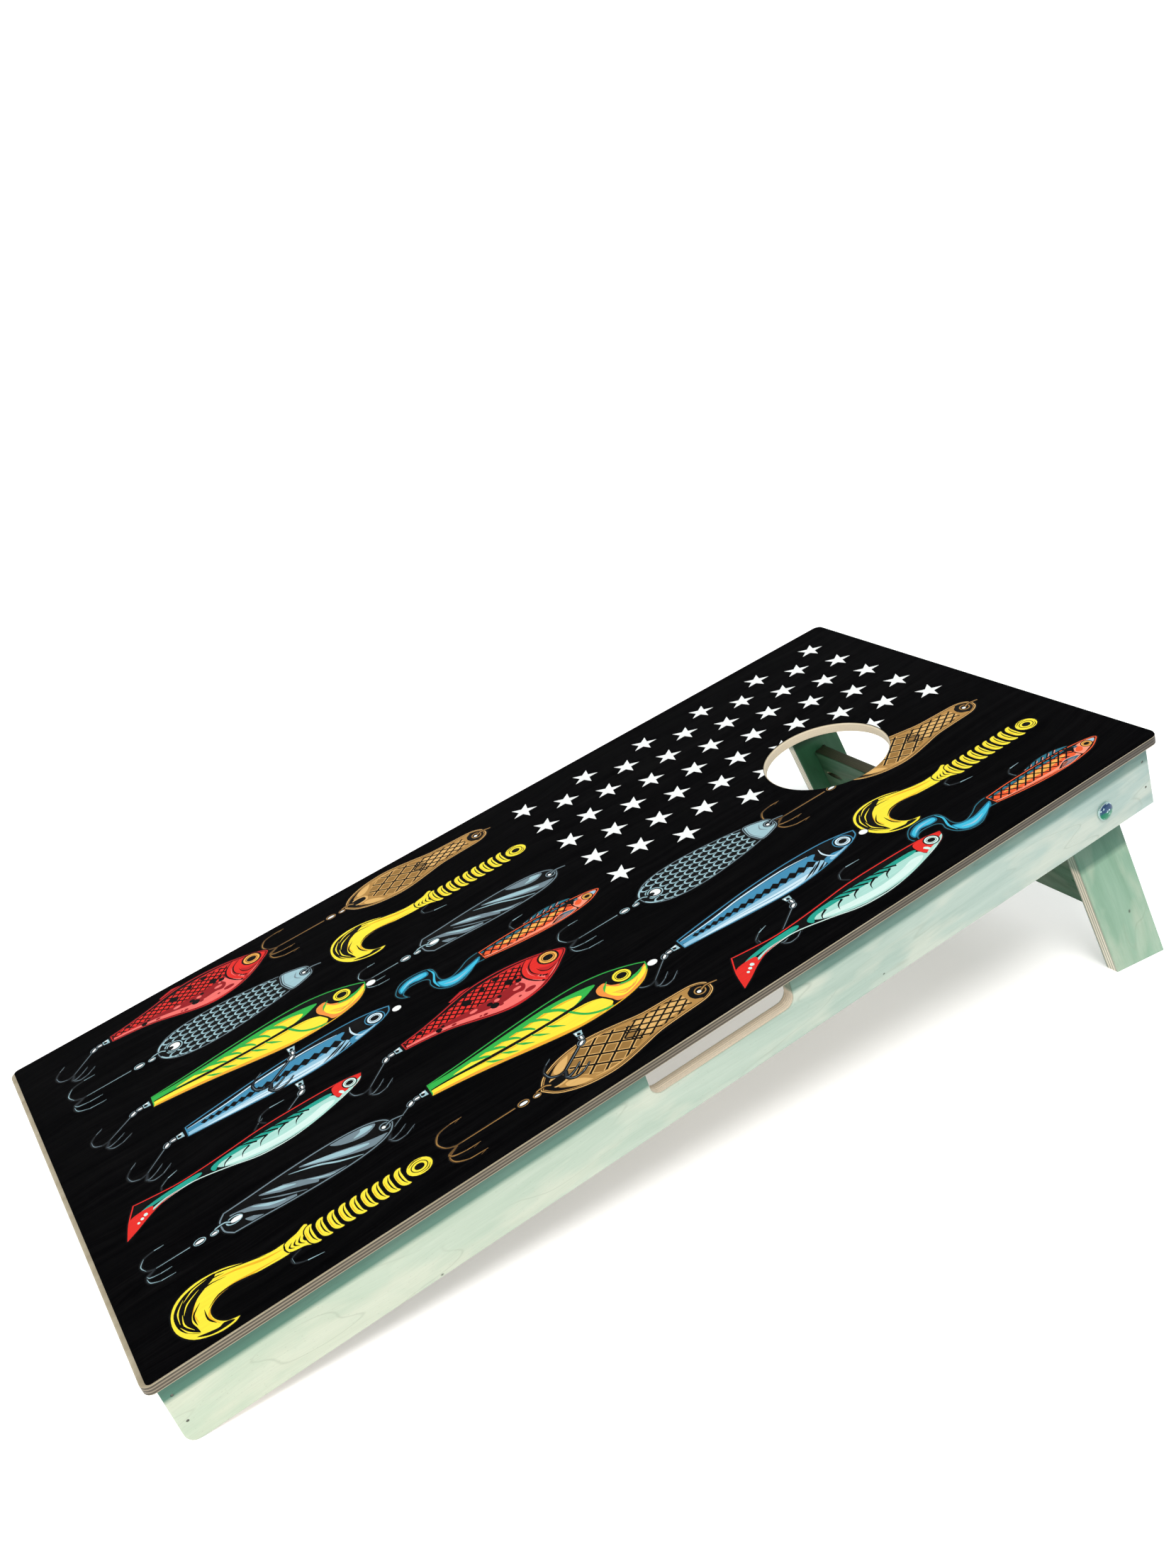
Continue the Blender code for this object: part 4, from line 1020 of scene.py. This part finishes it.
def deck_point(x, y, lift=0.0):
    """Place, in metres, of a point of the artwork, lifted off the playing face by some millimetres."""
    return BOARD @ Vector((x / MM_PER_M - DECK_WIDTH / 2, DECK_LENGTH - y / MM_PER_M, lift / MM_PER_M))


def film_loops():
    """Hole and outer edge of the CAD film's upper face, as artwork outlines."""
    made = bmesh.new()
    made.from_mesh(NODES["printed_film"].data)
    bmesh.ops.remove_doubles(made, verts=made.verts, dist=WELD)
    made.normal_update()
    upper = {face for face in made.faces if face.normal.dot(NORMAL) > UPWARDS}
    rim = [edge for edge in made.edges if len(upper.intersection(edge.link_faces)) == 1]
    back = BOARD.inverted()
    loops = []
    while rim:
        first = rim.pop()
        loop = list(first.verts)
        while True:
            following = [edge for edge in loop[-1].link_edges if edge in rim]
            if not following:
                break
            rim.remove(following[0])
            loop.append(following[0].other_vert(loop[-1]))
        places = [back @ vert.co for vert in loop[:-1]]
        loops.append([
            ((spot.x + DECK_WIDTH / 2) * MM_PER_M, (DECK_LENGTH - spot.y) * MM_PER_M) for spot in places])
    made.free()
    return sorted(loops, key=lambda loop: max(x for x, y in loop))


def holds(outline, points):
    """Which of the points an outline winds around."""
    start = np.array(outline)[:, None, :]
    end = np.roll(start, -1, axis=0)
    run = end - start
    x, y = points[None, :, 0], points[None, :, 1]
    turn = run[..., 0] * (y - start[..., 1]) - (x - start[..., 0]) * run[..., 1]
    climbing = (start[..., 1] <= y) & (end[..., 1] > y) & (turn > 0)
    falling = (end[..., 1] <= y) & (start[..., 1] > y) & (turn < 0)
    return climbing.sum(0) != falling.sum(0)


def within(outline, points):
    """Numbers of the points inside an outline's upright box."""
    return np.flatnonzero(np.all((points > outline.min(0)) & (points < outline.max(0)), axis=1))


def paint_over(owner, ink, middles, number, layers):
    """Gives every triangle inside a drawing's layers to that drawing, in its topmost ink."""
    near = within(np.array([point for _, outline, _ in layers for point in outline]), middles)
    spots = middles[near]
    for name, outline, mask in layers:
        chosen = within(np.array(outline), spots)
        for shape in (outline, mask):
            if shape is not None and len(chosen):
                chosen = chosen[holds(shape, spots[chosen])]
        owner[near[chosen]] = number
        ink[near[chosen]] = list(INKS).index(name)


def drawings():
    """Names and layers of all that is printed, in the order that they overlap."""
    stars = []
    for row in range(STAR_ROWS):
        odd = row % 2
        for column in range(STAR_COLUMNS - odd):
            x = STAR_LEFT + (column + odd / 2) * STAR_PITCH
            stars += paint("white", star(x, STAR_TOP + row * STAR_ROW_PITCH, STAR_RADIUS))
    found = [("stars", stars)]
    copies = {}
    for draw, places in LURES:
        layers = draw()
        for x, y, size in places:
            copies[draw] = copies.get(draw, 0) + 1
            found.append((f"{draw.__name__}_{copies[draw]}", moved(layers, x, y, size=size)))
    return found


def ink_material(name, colour):
    """Satin ink that lets a little of the wood's grain through."""
    make = Recipe("ink_" + name)
    grain = make.grain(make.along(UPHILL), make.along(ACROSS), (9, 520), 0.0, 1.0, 4, 0.7)
    bright, dull = (srgb(*(tone * share for tone in colour)) for share in (0.97, 0.9))
    return make.finish(
        Base_Color=make.blend(make.fit(grain, 0.35, 0.75), bright, dull),
        Roughness=make.fit(grain, 0.3, 0.7, 0.5, 0.62),
        Specular_IOR_Level=0.03,
        Normal=make.bump(grain, 0.12, 0.0001),
    )


def ground_material():
    """Black printed wood grain: fine streaks along the deck, and a wandering figure."""
    make = Recipe("print_ground")
    length = make.along(UPHILL)
    width = make.along(ACROSS)
    wander = make.noise(make.join(length, make.times(width, 3), 4.0), 2.6, 3)
    bent = make.math("MULTIPLY_ADD", wander, 0.09, width)
    rings = make.grain(length, bent, (1.4, 110), 1.0, 1.0, 5, 0.6)
    fibre = make.grain(length, bent, (10, 620), 0.0, 1.0, 4, 0.7)
    colour = make.blend(make.fit(rings, 0.42, 0.7), srgb(3, 3, 4), srgb(10, 10, 11))
    colour = make.blend(make.fit(fibre, 0.5, 0.7, 0.0, 0.6), colour, srgb(22, 21, 21))
    return make.finish(
        Base_Color=colour,
        Roughness=make.fit(fibre, 0.3, 0.7, 0.48, 0.64),
        Specular_IOR_Level=0.003,
        Normal=make.bump(fibre, 0.25, 0.0002),
    )


def new_object(name, made):
    """Object in the scene from a finished bmesh."""
    mesh = bpy.data.meshes.new(name)
    made.to_mesh(mesh)
    made.free()
    obj = bpy.data.objects.new(name, mesh)
    bpy.context.collection.objects.link(obj)
    return obj


def add_piece(name, made, materials):
    obj = new_object(name, made)
    for material in materials:
        obj.data.materials.append(material)
    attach(obj, "board")
    return obj


def lay_faces(made, points, triangles):
    """Lays triangles of the artwork on the playing face, and returns their faces."""
    used, corners = np.unique(triangles, return_inverse=True)
    verts = [made.verts.new(deck_point(*points[index])) for index in used]
    return [made.faces.new([verts[index] for index in corner]) for corner in corners.reshape(-1, 3)]


def add_flat_piece(name, points, triangles, inks, materials):
    """One printed drawing as a flat mesh, each triangle in its own ink."""
    made = bmesh.new()
    order, slots = np.unique(inks, return_inverse=True)
    for face, slot in zip(lay_faces(made, points, triangles), slots):
        face.material_index = int(slot)
    return add_piece(name, made, [materials[index] for index in order])


def wrap(made, loop, way=1, straight_beyond=math.inf):
    """Strip that carries the print's edge over the deck's eased edge.

    It goes outwards, or inwards where way is -1, and only down beyond a line across the deck.
    """
    rows = []
    for outwards, down in EDGE_WRAP:
        row = []
        for plain, bent in zip(loop, grown(loop, way * outwards)):
            spot, drop = (plain, FRONT_DROP) if plain[1] > straight_beyond else (bent, 1)
            row.append(made.verts.new(deck_point(*spot, -down * drop)))
        rows.append(row)
    count = len(loop)
    for upper, lower in zip(rows, rows[1:]):
        for index in range(count):
            after = (index + 1) % count
            made.faces.new((upper[index], upper[after], lower[after], lower[index]))


def add_print():
    hole, outer = film_loops()
    found = drawings()
    outlines = [outer, hole]
    for _, layers in found:
        for _, outline, mask in layers:
            outlines += [outline] if mask is None else [outline, mask]
    corners, edges = [], []
    for outline in outlines:
        first, count = len(corners), len(outline)
        corners += [Vector(point) for point in outline]
        edges += [(first + index, first + (index + 1) % count) for index in range(count)]
    points, _, triangles, *_ = delaunay_2d_cdt(corners, edges, [], 0, SAME_POINT, False)
    points = np.array([tuple(point) for point in points])
    triangles = np.array(triangles)
    middles = points[triangles].mean(axis=1)
    kept = holds(outer, middles) & ~holds(hole, middles)
    triangles, middles = triangles[kept], middles[kept]

    owner = np.full(len(triangles), -1)
    ink = np.zeros(len(triangles), int)
    for number, (_, layers) in enumerate(found):
        paint_over(owner, ink, middles, number, layers)
    materials = [ink_material(name, colour) for name, colour in INKS.items()]
    for number, (name, _) in enumerate(found):
        own = owner == number
        add_flat_piece("print_" + name, points, triangles[own], ink[own], materials)

    made = bmesh.new()
    lay_faces(made, points, triangles[owner == -1])
    wrap(made, outer, straight_beyond=DECK_LENGTH * MM_PER_M - FRONT_CORNER)
    wrap(made, hole, way=-1)
    bmesh.ops.remove_doubles(made, verts=made.verts, dist=WELD)
    bmesh.ops.recalc_face_normals(made, faces=made.faces)
    film = add_piece("print_ground", made, [ground_material()])
    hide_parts("printed_film")


# Studio

CAMERA_AT = Vector((1.4078, -0.6740, 0.9912))
CAMERA_FORWARD = Vector((-0.8258, 0.4103, -0.3868)).normalized()
CAMERA_UP = Vector((-0.2775, 0.3015, 0.9122))
CAMERA_LENS = 35.261
CAMERA_SIGHT = 100
FLOOR_REACH = 6.0
FLOOR_GLOW = 0.26
BACKDROP_RADIUS = 3.0
BACKDROP_HEIGHT = 7.0
BACKDROP_STEPS = 6
FLOOR_SIDES = 72
FLOOR_WELD = 1e-5
WORLD_COLOUR = (0.9, 1.0, 0.98, 1)
WORLD_STRENGTH = 0.46
# Each sun's name, direction, strength, width in degrees and colour
SUNS = (
    ("key", (-0.6, 0.42, -1.0), 1.9, 20, (1.0, 0.97, 0.95)),
    ("fill", (-0.92, -0.12, -0.36), 0.35, 9, (1.0, 0.99, 0.97)),
)


def add_camera():
    camera = bpy.data.objects.new("camera", bpy.data.cameras.new("camera"))
    camera.data.lens = CAMERA_LENS
    camera.data.clip_end = CAMERA_SIGHT
    right = CAMERA_FORWARD.cross(CAMERA_UP).normalized()
    up = right.cross(CAMERA_FORWARD)
    turned = Matrix((right, up, -CAMERA_FORWARD)).transposed().to_4x4()
    camera.matrix_world = Matrix.Translation(CAMERA_AT) @ turned
    bpy.context.collection.objects.link(camera)
    bpy.context.scene.camera = camera


def floor_material():
    """Near-white floor that glows a little."""
    make = Recipe("floor")
    grain = make.noise(make.place, 9.0, 4)
    return make.finish(
        Base_Color=make.blend(grain, srgb(246, 246, 246), srgb(250, 250, 250)),
        Roughness=0.9,
        Specular_IOR_Level=0.1,
        Emission_Color=(1, 1, 1, 1),
        Emission_Strength=FLOOR_GLOW,
    )


def add_floor():
    """Flat pale floor that curves up into a tall backdrop all round, far from the board."""
    made = bmesh.new()
    profile = [(0.0, 0.0)]
    for step in range(BACKDROP_STEPS + 1):
        angle = math.radians(90 / BACKDROP_STEPS * step)
        reach = FLOOR_REACH + BACKDROP_RADIUS * math.sin(angle)
        profile.append((reach, BACKDROP_RADIUS * (1 - math.cos(angle))))
    profile.append((FLOOR_REACH + BACKDROP_RADIUS, BACKDROP_HEIGHT))
    line = [made.verts.new((reach, 0, height)) for reach, height in profile]
    edges = [made.edges.new(pair) for pair in zip(line, line[1:])]
    bmesh.ops.spin(
        made, geom=line + edges, axis=(0, 0, 1), cent=(0, 0, 0), angle=math.tau, steps=FLOOR_SIDES)
    bmesh.ops.remove_doubles(made, verts=made.verts, dist=FLOOR_WELD)
    bmesh.ops.recalc_face_normals(made, faces=made.faces)
    floor = new_object("floor", made)
    floor.data.shade_smooth()
    floor.data.materials.append(floor_material())


def add_sun(name, towards, strength, angle, colour):
    light = bpy.data.objects.new(name, bpy.data.lights.new(name, "SUN"))
    light.data.energy = strength
    light.data.angle = math.radians(angle)
    light.data.color = colour
    light.rotation_mode = "QUATERNION"
    light.rotation_quaternion = Vector(towards).to_track_quat("-Z", "Y")
    bpy.context.collection.objects.link(light)


def add_lights():
    world = bpy.data.worlds.new("studio")
    world.use_nodes = True
    background = world.node_tree.nodes["Background"]
    background.inputs["Color"].default_value = WORLD_COLOUR
    background.inputs["Strength"].default_value = WORLD_STRENGTH
    bpy.context.scene.world = world
    for sun in SUNS:
        add_sun(*sun)
    bpy.context.scene.view_settings.view_transform = "Standard"


dress_wood()
dress_metal()
add_print()
add_camera()
add_floor()
add_lights()
